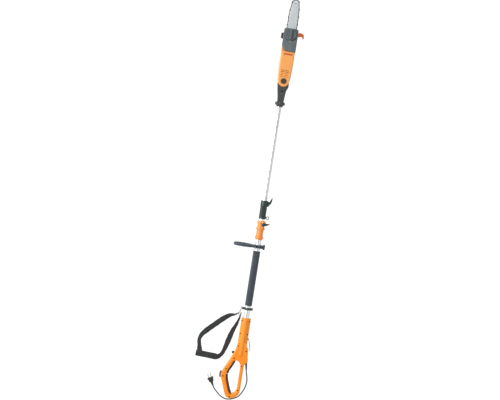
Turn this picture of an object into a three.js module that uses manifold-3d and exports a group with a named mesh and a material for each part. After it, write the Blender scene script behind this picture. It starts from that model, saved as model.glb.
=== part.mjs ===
// Telescoping pole saw, lying flat: an electric chain-saw head on a tilting neck, a pole of three
// nested tubes with lever clamps, a loop handle and foam grip, a rear D-handle with its trigger, a
// shoulder strap and a short mains lead with its plug.
// Millimetres. +Y runs along the pole towards the saw tip, +X is to the right of a user looking
// down on it with the tip ahead, +Z is up. Z = 0 is the surface that the saw lies on, and the
// origin is in the middle of the flat sole under the motor housing.

import * as THREE from "three";
import { mergeVertices } from "three/addons/utils/BufferGeometryUtils.js";
import Module from "manifold-3d";

// ---- driving dimensions ----
const GAP = 0.3; // clearance between touching pieces
const AXIS_Z = 58; // height of the pole's axis above the surface

const BAR_REACH = 340; // origin to the tip of the chain
const BAR_WIDTH = 43;
const BAR_NOSE_R = 15;
const BAR_THICK = 4;
const CHAIN_DEPTH = 7; // how far the chain stands out from the bar's edge
const CHAIN_THICK = 6.5;
const BAR_Z = 20; // the bar's middle plane, above the pole's axis
const SPROCKET_R = 14;
const SPROCKET_Y = 100;
const KNOB_Y = 157;
const KNOB_R = 28;
const STUD_R = 4;

const HEAD_WIDTH = 69;
const HEAD_FRONT_Y = 182;
const HEAD_TOP = 32; // above the axis
const PAD_Z = 14; // top of the bar's mounting pad
const COVER_BACK_Y = 75;
const COVER_TOP = 38;
const WALL = 3;
const PIVOT_Y = -74; // the head's tilt axis
const PIVOT_R = 28; // round rear end of the housing
const TONGUE_HALF = 12; // half the thickness of the neck's tongue
const BOLT_R = 5;

const NECK_LENGTH = 103; // from the tilt axis to the collar
const COLLAR_LENGTH = 24;
const SOCKET_DEPTH = 47; // how far the inner tube goes into the neck

const INNER_R = 12.5;
const TUBE_WALL = 1.3;
const SLIDE_GAP = 0.3; // radial clearance between sliding tubes
const INNER_SHOWN = 474; // bare length of the inner tube
const INNER_HELD = 160; // its length inside the middle section
const CLAMP_LIP = 12;
const UPPER_CLAMP_LENGTH = 93;
const CLAMPS_APART = 9;
const LOWER_CLAMP_LENGTH = 96;
const FLANGE_HEIGHT = 6.3;
const LEAD_R = 7;

const LOOP_BACK = 34; // from the lower clamp to the loop handle
const LOOP_REACH = 120; // pole axis to the loop's far side
const LOOP_TUBE_R = 8;
const FOAM_BACK = 23; // from the loop handle to the foam
const FOAM_LENGTH = 276;
const FOAM_WALL = 2.3;
const STRAP_BACK = 16; // from the foam to the strap clamp
const STRAP_WIDTH = 27;
const STRAP_THICK = 2.4;

const HANDLE_BACK = 46; // from the strap clamp to the rear handle
const TUBE_IN_HANDLE = 92;
const SLEEVE_WALL = 8.3;
const TRIGGER_HALF = 7;
const CORD_R = 3;

// ---- stations along the pole and radii that follow from them ----
const MIDDLE_R = INNER_R + SLIDE_GAP + TUBE_WALL;
const OUTER_R = MIDDLE_R + SLIDE_GAP + TUBE_WALL;
const SLEEVE_R = OUTER_R + SLEEVE_WALL;
const HANDLE_HALF = SLEEVE_R - 2; // half the handle's thickness
const NECK_END_Y = PIVOT_Y - NECK_LENGTH;
const SOCKET_Y = NECK_END_Y + SOCKET_DEPTH;
const COLLAR_END_Y = NECK_END_Y - COLLAR_LENGTH;
const MIDDLE_FRONT_Y = COLLAR_END_Y - INNER_SHOWN; // mouth of the upper clamp
const INNER_END_Y = MIDDLE_FRONT_Y - INNER_HELD;
const OUTER_FRONT_Y = MIDDLE_FRONT_Y - UPPER_CLAMP_LENGTH - CLAMPS_APART; // lower clamp
const LOOP_Y = OUTER_FRONT_Y - LOWER_CLAMP_LENGTH - LOOP_BACK;
const FOAM_FRONT_Y = LOOP_Y - FOAM_BACK;
const STRAP_CLAMP_Y = FOAM_FRONT_Y - FOAM_LENGTH - STRAP_BACK;
const HANDLE_FRONT_Y = STRAP_CLAMP_Y - HANDLE_BACK;
const OUTER_END_Y = HANDLE_FRONT_Y - TUBE_IN_HANDLE;
const MIDDLE_END_Y = OUTER_END_Y + 30;

// ---- solids ----
const wasm = await Module();
wasm.setup();

function solid(geometry) {
  const bare = geometry.index ? geometry.toNonIndexed() : geometry.clone();
  bare.deleteAttribute("normal");
  bare.deleteAttribute("uv");
  const merged = mergeVertices(bare, 1e-4);
  return new wasm.Manifold(
    new wasm.Mesh({
      numProp: 3,
      vertProperties: merged.attributes.position.array,
      triVerts: new Uint32Array(merged.index.array),
    }),
  );
}

function geometryOf(shape) {
  const mesh = shape.getMesh();
  return new THREE.BufferGeometry()
    .setAttribute("position", new THREE.BufferAttribute(mesh.vertProperties, 3))
    .setIndex(new THREE.BufferAttribute(mesh.triVerts, 1));
}

const join = (first, ...rest) => rest.reduce((sum, each) => sum.add(each), first);
const cut = (first, ...rest) => rest.reduce((left, each) => left.subtract(each), first);

// A block between two corners.
function block(low, high) {
  const size = high.map((value, i) => value - low[i]);
  const middle = high.map((value, i) => (value + low[i]) / 2);
  return solid(new THREE.BoxGeometry(...size).translate(...middle));
}

// A round bar along X, Y or Z, from one end to the other.
function rod(axis, radius, from, to, centre = [0, 0], sides = 20) {
  const bar = new THREE.CylinderGeometry(radius, radius, Math.abs(to - from), sides);
  const along = (from + to) / 2;
  if (axis === "x") bar.rotateZ(Math.PI / 2).translate(along, centre[0], centre[1]);
  if (axis === "y") bar.translate(centre[0], along, centre[1]);
  if (axis === "z") bar.rotateX(Math.PI / 2).translate(centre[0], centre[1], along);
  return solid(bar);
}

const ring = (axis, outer, inner, from, to, centre, sides) =>
  cut(
    rod(axis, outer, from, to, centre, sides),
    rod(axis, inner, from - Math.sign(to - from), to + Math.sign(to - from), centre, sides),
  );

// A piece turned about the Y axis; the profile is [radius, y] pairs from low y to high y.
function turned(profile, sides = 24) {
  const points = [[0, profile[0][1]], ...profile, [0, profile[profile.length - 1][1]]];
  return solid(new THREE.LatheGeometry(points.map((p) => new THREE.Vector2(...p)), sides));
}

// A flat outline in X and Y raised from one height to another, with an optional rounded edge.
// The whole outline can be drawn in by an inset, as for the hollow inside a wall.
function raised(outline, from, to, round = 0, inset = 0) {
  const shape = outline instanceof THREE.Shape ? outline : new THREE.Shape(vectors(outline));
  const plate = new THREE.ExtrudeGeometry(shape, {
    depth: to - from - 2 * round,
    bevelEnabled: round > 0,
    bevelSize: round,
    bevelThickness: round,
    bevelOffset: -round - inset,
    bevelSegments: 2,
  });
  return solid(plate.translate(0, 0, from + round));
}

// A side outline in Y and Z, stretched across X.
function sideways(outline, from, to) {
  const plate = new THREE.ExtrudeGeometry(new THREE.Shape(vectors(outline)), {
    depth: to - from,
    bevelEnabled: false,
  });
  const turn = new THREE.Matrix4().set(0, 0, 1, from, 1, 0, 0, 0, 0, 1, 0, 0, 0, 0, 0, 1);
  return solid(plate.applyMatrix4(turn));
}

const vectors = (points) => points.map((p) => new THREE.Vector2(...p));

// A section swept along a smooth curve through the given points.
function swept(points, section, steps, closed = false) {
  const path = new THREE.CatmullRomCurve3(
    points.map((p) => new THREE.Vector3(...p)),
    closed,
    "centripetal",
  );
  const bar = new THREE.ExtrudeGeometry(new THREE.Shape(section), {
    steps,
    extrudePath: path,
  });
  return solid(bar);
}

function roundSection(radius, sides) {
  const points = [];
  for (let i = 0; i < sides; i++) {
    const angle = ((i + 0.5) * 2 * Math.PI) / sides;
    points.push(new THREE.Vector2(radius * Math.cos(angle), radius * Math.sin(angle)));
  }
  return points;
}

// Points of an arc, angles in degrees.
function arc(x, y, radius, from, to, steps = 10) {
  const points = [];
  for (let i = 0; i <= steps; i++) {
    const angle = ((from + ((to - from) * i) / steps) * Math.PI) / 180;
    points.push([x + radius * Math.cos(angle), y + radius * Math.sin(angle)]);
  }
  return points;
}

function rectangle(x0, y0, x1, y1, r) {
  return [
    ...arc(x1 - r, y0 + r, r, -90, 0, 4),
    ...arc(x1 - r, y1 - r, r, 0, 90, 4),
    ...arc(x0 + r, y1 - r, r, 90, 180, 4),
    ...arc(x0 + r, y0 + r, r, 180, 270, 4),
  ];
}

// ---- materials ----
const finish = (color, roughness, metalness = 0) =>
  new THREE.MeshStandardMaterial({ color, roughness, metalness });
const ORANGE = finish(0xf07d16, 0.45);
const SLATE = finish(0x3f464a, 0.55);
const BLACK = finish(0x24272a, 0.6);
const RUBBER = finish(0x1b1d1f, 0.85);
const FOAM = finish(0x30363b, 0.95);
const WEBBING = finish(0x1f262b, 0.9);
const ALUMINIUM = finish(0xd9dbdc, 0.35, 0.9);
const STEEL = finish(0xb4bbc0, 0.3, 1);
const DARK_STEEL = finish(0x6d6f72, 0.4, 1);

const saw = new THREE.Group();
const onAxis = new THREE.Group(); // everything on the pole's axis
onAxis.position.z = AXIS_Z;
saw.add(onAxis);

function place(group, name, shape, material) {
  const mesh = new THREE.Mesh(geometryOf(shape), material);
  mesh.name = name;
  group.add(mesh);
}

// ---- guide bar, chain and sprockets ----
const noseY = BAR_REACH - CHAIN_DEPTH - BAR_NOSE_R;
const barTailY = SPROCKET_Y + SPROCKET_R + 8;
const barTop = BAR_Z + BAR_THICK / 2;
const barBottom = BAR_Z - BAR_THICK / 2;

// The line that the chain runs on: round the nose, down both sides and round the sprocket.
function chainLine(offset) {
  const half = BAR_WIDTH / 2 + offset;
  return [
    ...arc(0, noseY, BAR_NOSE_R + offset, 15, 165, 12),
    [-half + 2.5, noseY - 28],
    [-half, noseY - 60],
    [-half, KNOB_Y],
    ...arc(0, SPROCKET_Y, SPROCKET_R + offset, 170, 370, 12),
    [half, KNOB_Y],
    [half, noseY - 60],
    [half - 2.5, noseY - 28],
  ];
}

const noseSlotHalf = 1.1;
const noseWheelR = BAR_NOSE_R - 2.5;
function guideBar() {
  const tail = raised(
    rectangle(-BAR_WIDTH / 2 - 2, barTailY, BAR_WIDTH / 2 + 2, BAR_REACH, 9),
    barBottom - 1,
    barTop + 1,
  );
  const blade = raised(chainLine(0), barBottom, barTop).intersect(tail);
  const studSlot = raised(
    rectangle(-STUD_R - GAP, KNOB_Y - 14, STUD_R + GAP, KNOB_Y + 14, STUD_R),
    barBottom - 1,
    barTop + 1,
  );
  const wheelSlot = join(
    rod("z", noseWheelR + GAP, BAR_Z - noseSlotHalf, BAR_Z + noseSlotHalf, [0, noseY]),
    block(
      [-noseWheelR, noseY + 4, BAR_Z - noseSlotHalf],
      [noseWheelR, BAR_REACH, BAR_Z + noseSlotHalf],
    ),
  );
  const rivetHole = rod("z", 3 + GAP, barBottom - 1, barTop + 1, [0, noseY], 16);
  return cut(blade, studSlot, wheelSlot, rivetHole);
}

function toothedWheel(centreY, tipR, rootR, teeth, bore, from, to) {
  const outline = [];
  for (let i = 0; i < teeth; i++) {
    const step = (2 * Math.PI) / teeth;
    [
      [rootR, 0.1],
      [tipR, 0.38],
      [tipR, 0.62],
      [rootR, 0.9],
    ].forEach(([radius, part]) => {
      const angle = (i + part) * step;
      outline.push([radius * Math.cos(angle), centreY + radius * Math.sin(angle)]);
    });
  }
  return cut(raised(outline, from, to), rod("z", bore, from - 1, to + 1, [0, centreY], 20));
}

const chainBottom = BAR_Z - CHAIN_THICK / 2;
const chainTop = BAR_Z + CHAIN_THICK / 2;
place(onAxis, "guide_bar", guideBar(), STEEL);
place(
  onAxis,
  "saw_chain",
  cut(
    raised(chainLine(CHAIN_DEPTH), chainBottom, chainTop),
    raised(chainLine(GAP), chainBottom - 1, chainTop + 1),
  ),
  DARK_STEEL,
);
place(
  onAxis,
  "nose_sprocket",
  toothedWheel(noseY, noseWheelR - GAP, noseWheelR - 3, 11, 3 + GAP, BAR_Z - 0.8, BAR_Z + 0.8),
  STEEL,
);
place(onAxis, "nose_rivet", rod("z", 3, barBottom, barTop, [0, noseY], 16), DARK_STEEL);

const shaftR = 4;
const shaftTop = barTop + 4;
place(
  onAxis,
  "drive_sprocket",
  toothedWheel(SPROCKET_Y, SPROCKET_R - GAP, SPROCKET_R - 4, 7, shaftR + GAP, PAD_Z + 3, barTop + 1),
  STEEL,
);

// ---- motor, gears and oil ----
const motorZ = -22;
const motorR = 24;
const motorFrontY = 50;
const motorBackY = PIVOT_Y + PIVOT_R + 10;
const gearTop = -2;
const gearThick = 5;
const gearR = 24;
const pinionR = 6;
const pinionZ = gearTop - gearThick - GAP - pinionR;
const bearingTop = PAD_Z - 4;

place(
  onAxis,
  "output_shaft",
  rod("z", shaftR, gearTop - gearThick - 2, shaftTop, [0, SPROCKET_Y], 16),
  STEEL,
);
place(
  onAxis,
  "crown_gear",
  toothedWheel(SPROCKET_Y, gearR, gearR - 2, 32, shaftR + GAP, gearTop - gearThick, gearTop),
  STEEL,
);
place(
  onAxis,
  "output_bearing",
  ring("z", 10, shaftR + GAP, gearTop + GAP, bearingTop - GAP, [0, SPROCKET_Y], 20),
  STEEL,
);
const rotorGap = 0.5;
place(
  onAxis,
  "motor_can",
  cut(
    join(
      rod("y", motorR, motorBackY, motorFrontY, [0, motorZ], 28),
      rod("y", 9, motorFrontY - 1, motorFrontY + 5, [0, motorZ], 20),
    ),
    rod("y", 3 + rotorGap, motorFrontY - 45, motorFrontY + 6, [0, pinionZ], 16),
  ),
  DARK_STEEL,
);
place(
  onAxis,
  "motor_pinion",
  join(
    rod("y", 3, motorFrontY - 40, motorFrontY + 26, [0, pinionZ], 16),
    rod("y", pinionR, motorFrontY + 12, motorFrontY + 26, [0, pinionZ], 14),
  ),
  STEEL,
);

// ---- motor housing: two shells split on the pole's axis ----
const half = HEAD_WIDTH / 2;
function housingPlan(front) {
  return [
    ...arc(half - 10, front - 10, 10, 0, 90, 4),
    ...arc(-half + 10, front - 10, 10, 90, 180, 4),
    [-half, 0],
    [-PIVOT_R - 4, PIVOT_Y + 20],
    ...arc(0, PIVOT_Y, PIVOT_R, 180, 360, 16),
    [PIVOT_R + 4, PIVOT_Y + 20],
    [half, 0],
  ];
}

const bayBack = motorBackY - 4;
const slotHalf = TONGUE_HALF + 0.4;
const tongueSlot = join(
  rod("z", PIVOT_R + 0.4, -slotHalf, slotHalf, [0, PIVOT_Y], 32),
  block([-60, PIVOT_Y - 60, -slotHalf], [60, PIVOT_Y, slotHalf]),
);
const boltHole = rod("z", BOLT_R + GAP, -80, 80, [0, PIVOT_Y], 20);
const studHole = rod("z", STUD_R + GAP, -12, 60, [0, KNOB_Y], 16);
const capR = 14;
const oilNeckR = 9;
const tankX = -half + WALL + GAP;
const oilY = KNOB_Y - 1;
const oilZ = -6;

function lowerShell() {
  const side = sideways(
    [
      [PIVOT_Y - 40, -AXIS_Z],
      [62, -AXIS_Z],
      [110, -34],
      [HEAD_FRONT_Y + 5, -24],
      [HEAD_FRONT_Y + 5, PAD_Z],
      [COVER_BACK_Y - 1, PAD_Z],
      [COVER_BACK_Y - 1, -GAP / 2],
      [PIVOT_Y - 40, -GAP / 2],
    ],
    -60,
    60,
  );
  const bay = raised(
    rectangle(-half + WALL, bayBack, half - WALL, COVER_BACK_Y - 1 - WALL, 4),
    -AXIS_Z + WALL,
    20,
  );
  const gearBay = block(
    [-half + WALL, COVER_BACK_Y - 10, -30],
    [half - WALL, HEAD_FRONT_Y - 52, bearingTop],
  );
  const tankBay = block(
    [-half + WALL, HEAD_FRONT_Y - 53, -20],
    [-STUD_R - 6, HEAD_FRONT_Y - 8, bearingTop],
  );
  const fillerHole = rod("x", oilNeckR + GAP, -60, -half + 10, [oilY, oilZ], 20);
  const shaftHole = rod("z", shaftR + 2, 0, 40, [0, SPROCKET_Y], 16);
  const nutSeat = rod("z", 9 + GAP, -AXIS_Z - 1, -AXIS_Z + 12, [0, PIVOT_Y], 6);
  return cut(
    raised(housingPlan(HEAD_FRONT_Y), -AXIS_Z, PAD_Z, 3).intersect(side),
    bay,
    gearBay,
    tankBay,
    fillerHole,
    shaftHole,
    tongueSlot,
    boltHole,
    studHole,
    nutSeat,
  );
}

function upperShell() {
  const front = COVER_BACK_Y - 1 - GAP;
  const outer = raised(housingPlan(front + 10), -20, HEAD_TOP, 4);
  const kept = block([-60, PIVOT_Y - 60, GAP / 2], [60, front, 60]);
  const bay = raised(
    rectangle(-half + WALL, bayBack, half - WALL, front - WALL, 4),
    -5,
    HEAD_TOP - WALL,
  );
  const capSeat = rod("z", capR + GAP, HEAD_TOP - 5, HEAD_TOP + 5, [0, PIVOT_Y], 28);
  return cut(outer.intersect(kept), bay, tongueSlot, boltHole, capSeat);
}

place(onAxis, "motor_housing_lower", lowerShell(), ORANGE);
place(onAxis, "motor_housing_upper", upperShell(), ORANGE);

place(
  onAxis,
  "oil_tank",
  cut(
    join(
      block(
        [tankX, HEAD_FRONT_Y - 52, -20 + GAP],
        [-STUD_R - 6 - GAP, HEAD_FRONT_Y - 8 - GAP, bearingTop - GAP],
      ),
      rod("x", oilNeckR, -half - 3, tankX + 2, [oilY, oilZ], 20),
    ),
    block(
      [tankX + 2, HEAD_FRONT_Y - 50, -18 + GAP],
      [-STUD_R - 8 - GAP, HEAD_FRONT_Y - 10 - GAP, bearingTop - 2 - GAP],
    ),
    rod("x", oilNeckR - 2, -half - 5, tankX + 4, [oilY, oilZ], 20),
  ),
  BLACK,
);
place(
  onAxis,
  "oil_cap",
  cut(
    join(
      rod("x", capR, -half - 13, -half - GAP, [oilY, oilZ], 24),
      rod("x", capR + 2, -half - 5, -half - GAP, [oilY, oilZ], 24),
    ),
    rod("x", oilNeckR + GAP, -half - 3 - GAP, -half + 2, [oilY, oilZ], 20),
  ),
  BLACK,
);

// ---- side cover with its knob ----
function sideCover() {
  const left = -half - 2;
  const right = half + 1.5;
  const outline = [
    [left + 10, COVER_BACK_Y + 14],
    [left + 22, COVER_BACK_Y],
    [right - 3, COVER_BACK_Y],
    [right, COVER_BACK_Y + 3],
    ...arc(right - 12, HEAD_FRONT_Y - 2, 10, 0, 90, 4),
    ...arc(left + 14, HEAD_FRONT_Y - 2, 10, 90, 180, 4),
    [left, HEAD_FRONT_Y - 20],
    [left, COVER_BACK_Y + 26],
  ];
  const inside = rectangle(left + WALL + 1, COVER_BACK_Y + 4, right - WALL - 1, HEAD_FRONT_Y + 4, 6);
  const corner = raised(
    [
      [left - 5, COVER_BACK_Y - 5],
      [left + 30.7, COVER_BACK_Y - 4.7],
      [left + 3.7, COVER_BACK_Y + 26.8],
      [left - 5, COVER_BACK_Y + 32],
    ],
    PAD_Z - 5,
    COVER_TOP + 5,
  );
  const hollow = cut(raised(inside, PAD_Z - 5, COVER_TOP - WALL), corner);
  const mouth = block(
    [-BAR_WIDTH / 2 - CHAIN_DEPTH - 1.5, KNOB_Y, PAD_Z - 1],
    [BAR_WIDTH / 2 + CHAIN_DEPTH + 1.5, HEAD_FRONT_Y + 20, chainTop + 3],
  );
  const hole = rod("z", STUD_R + GAP, 0, 60, [0, KNOB_Y], 16);
  const seat = rod("z", STUD_R + 6, barTop + GAP, COVER_TOP - 1, [0, KNOB_Y], 20);
  const shell = cut(raised(outline, PAD_Z - 6, COVER_TOP, 3), hollow, mouth);
  return cut(
    join(shell, seat),
    hole,
    block([-60, 0, PAD_Z - 20], [60, 300, PAD_Z + GAP]),
  );
}

const knobBottom = COVER_TOP + GAP;
const knobTop = knobBottom + 10;
place(onAxis, "side_cover", sideCover(), SLATE);
place(onAxis, "bar_stud", rod("z", STUD_R, -11, knobBottom + 6, [0, KNOB_Y], 16), STEEL);
place(
  onAxis,
  "cover_knob",
  cut(
    join(
      rod("z", KNOB_R, knobBottom, knobTop, [0, KNOB_Y], 32),
      block([-5, KNOB_Y - KNOB_R + 3, knobTop - 1], [5, KNOB_Y + KNOB_R - 3, knobTop + 9]),
    ),
    rod("z", STUD_R + GAP, 0, knobBottom + 6 + GAP, [0, KNOB_Y], 16),
  ),
  SLATE,
);

// ---- branch hook on the right of the housing ----
place(
  onAxis,
  "branch_hook",
  raised(
    [
      [half + GAP, KNOB_Y],
      [half + 14, KNOB_Y + 3],
      [half + 21, KNOB_Y + 5],
      [half + 25, KNOB_Y + 2],
      [half + 26.5, KNOB_Y - 5],
      [half + 29.5, KNOB_Y - 8],
      [half + 32.5, KNOB_Y - 5],
      [half + 32.5, KNOB_Y + 9],
      [half + 29.5, KNOB_Y + 17],
      [half + 21, KNOB_Y + 22],
      [half + 10, KNOB_Y + 23],
      [half + GAP, KNOB_Y + 20],
    ],
    -6,
    6,
    1.5,
  ),
  ORANGE,
);

// ---- tilt joint: bolt, nut and cap ----
place(
  onAxis,
  "pivot_bolt",
  join(
    rod("z", BOLT_R, -AXIS_Z + 5, HEAD_TOP - 6, [0, PIVOT_Y], 20),
    rod("z", BOLT_R + 4, HEAD_TOP - 5 + GAP, HEAD_TOP - 1.5, [0, PIVOT_Y], 6),
    rod("z", BOLT_R, HEAD_TOP - 7, HEAD_TOP - 2, [0, PIVOT_Y], 20),
  ),
  STEEL,
);
place(
  onAxis,
  "pivot_nut",
  cut(
    rod("z", 9, -AXIS_Z + 3, -AXIS_Z + 12 - GAP, [0, PIVOT_Y], 6),
    rod("z", BOLT_R + GAP, -AXIS_Z, -AXIS_Z + 20, [0, PIVOT_Y], 16),
  ),
  STEEL,
);
place(
  onAxis,
  "pivot_cap",
  rod("z", capR, HEAD_TOP - 1.5 + GAP, HEAD_TOP + 1.5, [0, PIVOT_Y], 28),
  BLACK,
);

// ---- neck with its tongue, release button and collar ----
const neckR = INNER_R + 4;
function neck() {
  const plan = [
    [-PIVOT_R, PIVOT_Y - 12],
    [-PIVOT_R + 3.5, PIVOT_Y - 36],
    [-neckR - 3.5, PIVOT_Y - 62],
    [-neckR, PIVOT_Y - 86],
    [-neckR, NECK_END_Y],
    [neckR, NECK_END_Y],
    [neckR + 1, PIVOT_Y - 86],
    [neckR + 2.5, PIVOT_Y - 62],
    [neckR + 4.5, PIVOT_Y - 41],
    [PIVOT_R + 1, PIVOT_Y - 26],
    [PIVOT_R + 1, PIVOT_Y - 14],
  ];
  const side = sideways(
    [
      [PIVOT_Y, -33],
      [PIVOT_Y, 29],
      [PIVOT_Y - 30, 28],
      [PIVOT_Y - 60, 21],
      [PIVOT_Y - 86, neckR],
      [NECK_END_Y, neckR],
      [NECK_END_Y, -neckR],
      [PIVOT_Y - 86, -neckR],
      [PIVOT_Y - 60, -22],
      [PIVOT_Y - 30, -32],
    ],
    -60,
    60,
  );
  const body = raised(plan, -34, 34, 3).intersect(side);
  const reliefR = PIVOT_R + 0.8;
  const cheeks = join(
    rod("z", reliefR, TONGUE_HALF, 60, [0, PIVOT_Y], 40),
    rod("z", reliefR, -60, -TONGUE_HALF, [0, PIVOT_Y], 40),
  );
  const tongue = join(
    rod("z", PIVOT_R - 1, -TONGUE_HALF, TONGUE_HALF, [0, PIVOT_Y], 32),
    block([-20, PIVOT_Y - 40, -TONGUE_HALF], [20, PIVOT_Y - 10, TONGUE_HALF]),
  );
  const nose = rod("y", neckR - 3, NECK_END_Y - 18, NECK_END_Y + 2, [0, 0], 24);
  const socket = rod("y", INNER_R + GAP, NECK_END_Y - 20, SOCKET_Y, [0, 0], 24);
  const buttonHole = block(
    [-5 - GAP, PIVOT_Y - 66, neckR - 2],
    [5 + GAP, PIVOT_Y - 48, 40],
  );
  return cut(join(cut(body, cheeks), tongue, nose), socket, boltHole, buttonHole);
}
place(onAxis, "neck", neck(), BLACK);
place(
  onAxis,
  "tilt_release",
  join(
    block([-5, PIVOT_Y - 65.7, neckR - 1.7], [5, PIVOT_Y - 54, neckR + 3]),
    block([-5, PIVOT_Y - 65.7, neckR + 2], [5, PIVOT_Y - 60, neckR + 9.5]),
  ),
  SLATE,
);
place(
  onAxis,
  "neck_collar",
  cut(
    turned(
      [
        [INNER_R + 2, COLLAR_END_Y],
        [INNER_R + 6.5, COLLAR_END_Y + 9],
        [INNER_R + 12.5, COLLAR_END_Y + 12],
        [INNER_R + 13, COLLAR_END_Y + 20],
        [INNER_R + 10.5, NECK_END_Y - GAP],
      ],
      32,
    ),
    rod("y", neckR - 3 + GAP, COLLAR_END_Y + 4, NECK_END_Y + 5, [0, 0], 24),
    rod("y", INNER_R + GAP, COLLAR_END_Y - 5, NECK_END_Y + 5, [0, 0], 24),
  ),
  BLACK,
);

// ---- telescoping tubes and the coiled lead inside them ----
function tube(radius, front, end) {
  return ring("y", radius, radius - TUBE_WALL, end, front, [0, 0], 24);
}
const middleTubeFront = MIDDLE_FRONT_Y - CLAMP_LIP;
const outerTubeFront = OUTER_FRONT_Y - CLAMP_LIP;
place(onAxis, "inner_tube", tube(INNER_R, SOCKET_Y - GAP, INNER_END_Y), ALUMINIUM);
place(onAxis, "middle_tube", tube(MIDDLE_R, middleTubeFront - GAP, MIDDLE_END_Y), ALUMINIUM);
place(onAxis, "outer_tube", tube(OUTER_R, outerTubeFront - GAP, OUTER_END_Y), ALUMINIUM);
place(
  onAxis,
  "internal_lead",
  rod("y", LEAD_R, OUTER_END_Y + 20, SOCKET_Y - 20, [0, 0], 10),
  BLACK,
);

// ---- upper clamp: sleeve, lever and hanging eye ----
const sleeveR = MIDDLE_R + 3;
const leverX = sleeveR + 5;
const upperLeverY = MIDDLE_FRONT_Y - 18;
function upperClamp() {
  const end = MIDDLE_FRONT_Y - UPPER_CLAMP_LENGTH;
  const sleeve = turned([
    [sleeveR - 1.5, end],
    [sleeveR, end + 3],
    [sleeveR, MIDDLE_FRONT_Y - 30],
    [sleeveR + 1.5, MIDDLE_FRONT_Y - 28],
    [sleeveR + 1.5, MIDDLE_FRONT_Y - 2],
    [sleeveR, MIDDLE_FRONT_Y],
  ]);
  const ears = block(
    [sleeveR - 3, MIDDLE_FRONT_Y - 28, -9],
    [sleeveR + 10, MIDDLE_FRONT_Y - 3, 9],
  );
  const eyeFoot = block(
    [sleeveR - 2, end + 4, -3],
    [sleeveR + 0.7, end + 14, 3],
  );
  const leverSlot = block(
    [sleeveR + 1.5, MIDDLE_FRONT_Y - 40, -5 - GAP],
    [sleeveR + 20, MIDDLE_FRONT_Y + 5, 5 + GAP],
  );
  return cut(
    join(sleeve, cut(ears, leverSlot), eyeFoot),
    rod("y", MIDDLE_R + GAP, end - 2, middleTubeFront, [0, 0], 24),
    rod("y", INNER_R + GAP, end - 2, MIDDLE_FRONT_Y + 2, [0, 0], 24),
    rod("z", 1.5 + GAP, -20, 20, [leverX, upperLeverY], 12),
  );
}
place(onAxis, "upper_clamp", upperClamp(), BLACK);
place(
  onAxis,
  "upper_lever_pin",
  rod("z", 1.5, -9, 9, [leverX, upperLeverY], 12),
  STEEL,
);
place(
  onAxis,
  "upper_lever",
  cut(
    raised(
      [
        ...arc(leverX, upperLeverY, 3.2, 120, 300, 8),
        [leverX + 8, upperLeverY + 3],
        [leverX + 15, upperLeverY + 22],
        [leverX + 15.5, upperLeverY + 36],
        [leverX + 11, upperLeverY + 37],
        [leverX + 8, upperLeverY + 24],
        [leverX + 3, upperLeverY + 9],
      ],
      -5,
      5,
      0.8,
    ),
    rod("z", 1.5 + GAP, -20, 20, [leverX, upperLeverY], 12),
  ),
  BLACK,
);
const eyeY = MIDDLE_FRONT_Y - UPPER_CLAMP_LENGTH + 9;
const eyeR = 8.5;
const eyeX = sleeveR + 0.7 + GAP + eyeR;
place(
  onAxis,
  "hanging_eye",
  ring("z", eyeR, eyeR - 3.4, -2.5, 2.5, [eyeX, eyeY], 20),
  BLACK,
);

// ---- lower clamp: ribbed body and its lever ----
const lowerBodyR = OUTER_R + 2;
const flangeR = OUTER_R + FLANGE_HEIGHT;
const lowerEnd = OUTER_FRONT_Y - LOWER_CLAMP_LENGTH;
const lowerLeverY = OUTER_FRONT_Y - 19;
const lowerPinX = 6;
const lowerPinZ = lowerBodyR + 4;
function lowerClamp() {
  const ribs = [0, 33, 78].map((back) =>
    rod(
      "y",
      flangeR,
      OUTER_FRONT_Y - back - 11,
      OUTER_FRONT_Y - back - 1,
      [0, 0],
      32,
    ),
  );
  const body = rod("y", lowerBodyR, lowerEnd, OUTER_FRONT_Y, [0, 0], 24);
  const ears = block(
    [lowerPinX - 5, OUTER_FRONT_Y - 34, 5],
    [lowerPinX + 5, OUTER_FRONT_Y - 4, lowerPinZ + 4],
  );
  const leverSlot = cut(
    block([lowerPinX - 20, lowerLeverY - 9 - GAP, 2], [60, lowerLeverY + 9 + GAP, 60]),
    rod("y", lowerBodyR + GAP, lowerEnd, OUTER_FRONT_Y, [0, 0], 24),
  );
  return cut(
    join(body, ...ribs, ears),
    leverSlot,
    rod("y", OUTER_R + GAP, lowerEnd - 2, outerTubeFront, [0, 0], 24),
    rod("y", MIDDLE_R + GAP, lowerEnd - 2, OUTER_FRONT_Y + 2, [0, 0], 24),
    rod("y", 1.5 + GAP, OUTER_FRONT_Y - 50, OUTER_FRONT_Y + 5, [lowerPinX, lowerPinZ], 12),
  );
}
place(onAxis, "lower_clamp", lowerClamp(), ORANGE);
place(
  onAxis,
  "lower_lever_pin",
  rod("y", 1.5, OUTER_FRONT_Y - 33, OUTER_FRONT_Y - 5, [lowerPinX, lowerPinZ], 12),
  STEEL,
);
function lowerLever() {
  const profile = [
    ...arc(lowerPinX, lowerPinZ, 3.3, 100, 260, 8),
    [24, 12],
    [42, 0],
    [43, 4],
    [26, 20],
    [14, lowerPinZ + 4],
  ];
  const wedge = new THREE.ExtrudeGeometry(new THREE.Shape(vectors(profile)), {
    depth: 17,
    bevelEnabled: false,
  });
  wedge.rotateX(Math.PI / 2).translate(0, lowerLeverY + 8.5, 0);
  return cut(
    solid(wedge),
    rod("y", lowerBodyR + 3 * GAP, lowerLeverY - 20, lowerLeverY + 20, [0, 0], 24),
    rod("y", 1.5 + GAP, lowerLeverY - 20, lowerLeverY + 20, [lowerPinX, lowerPinZ], 12),
  );
}
place(onAxis, "lower_lever", lowerLever(), BLACK);

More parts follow.
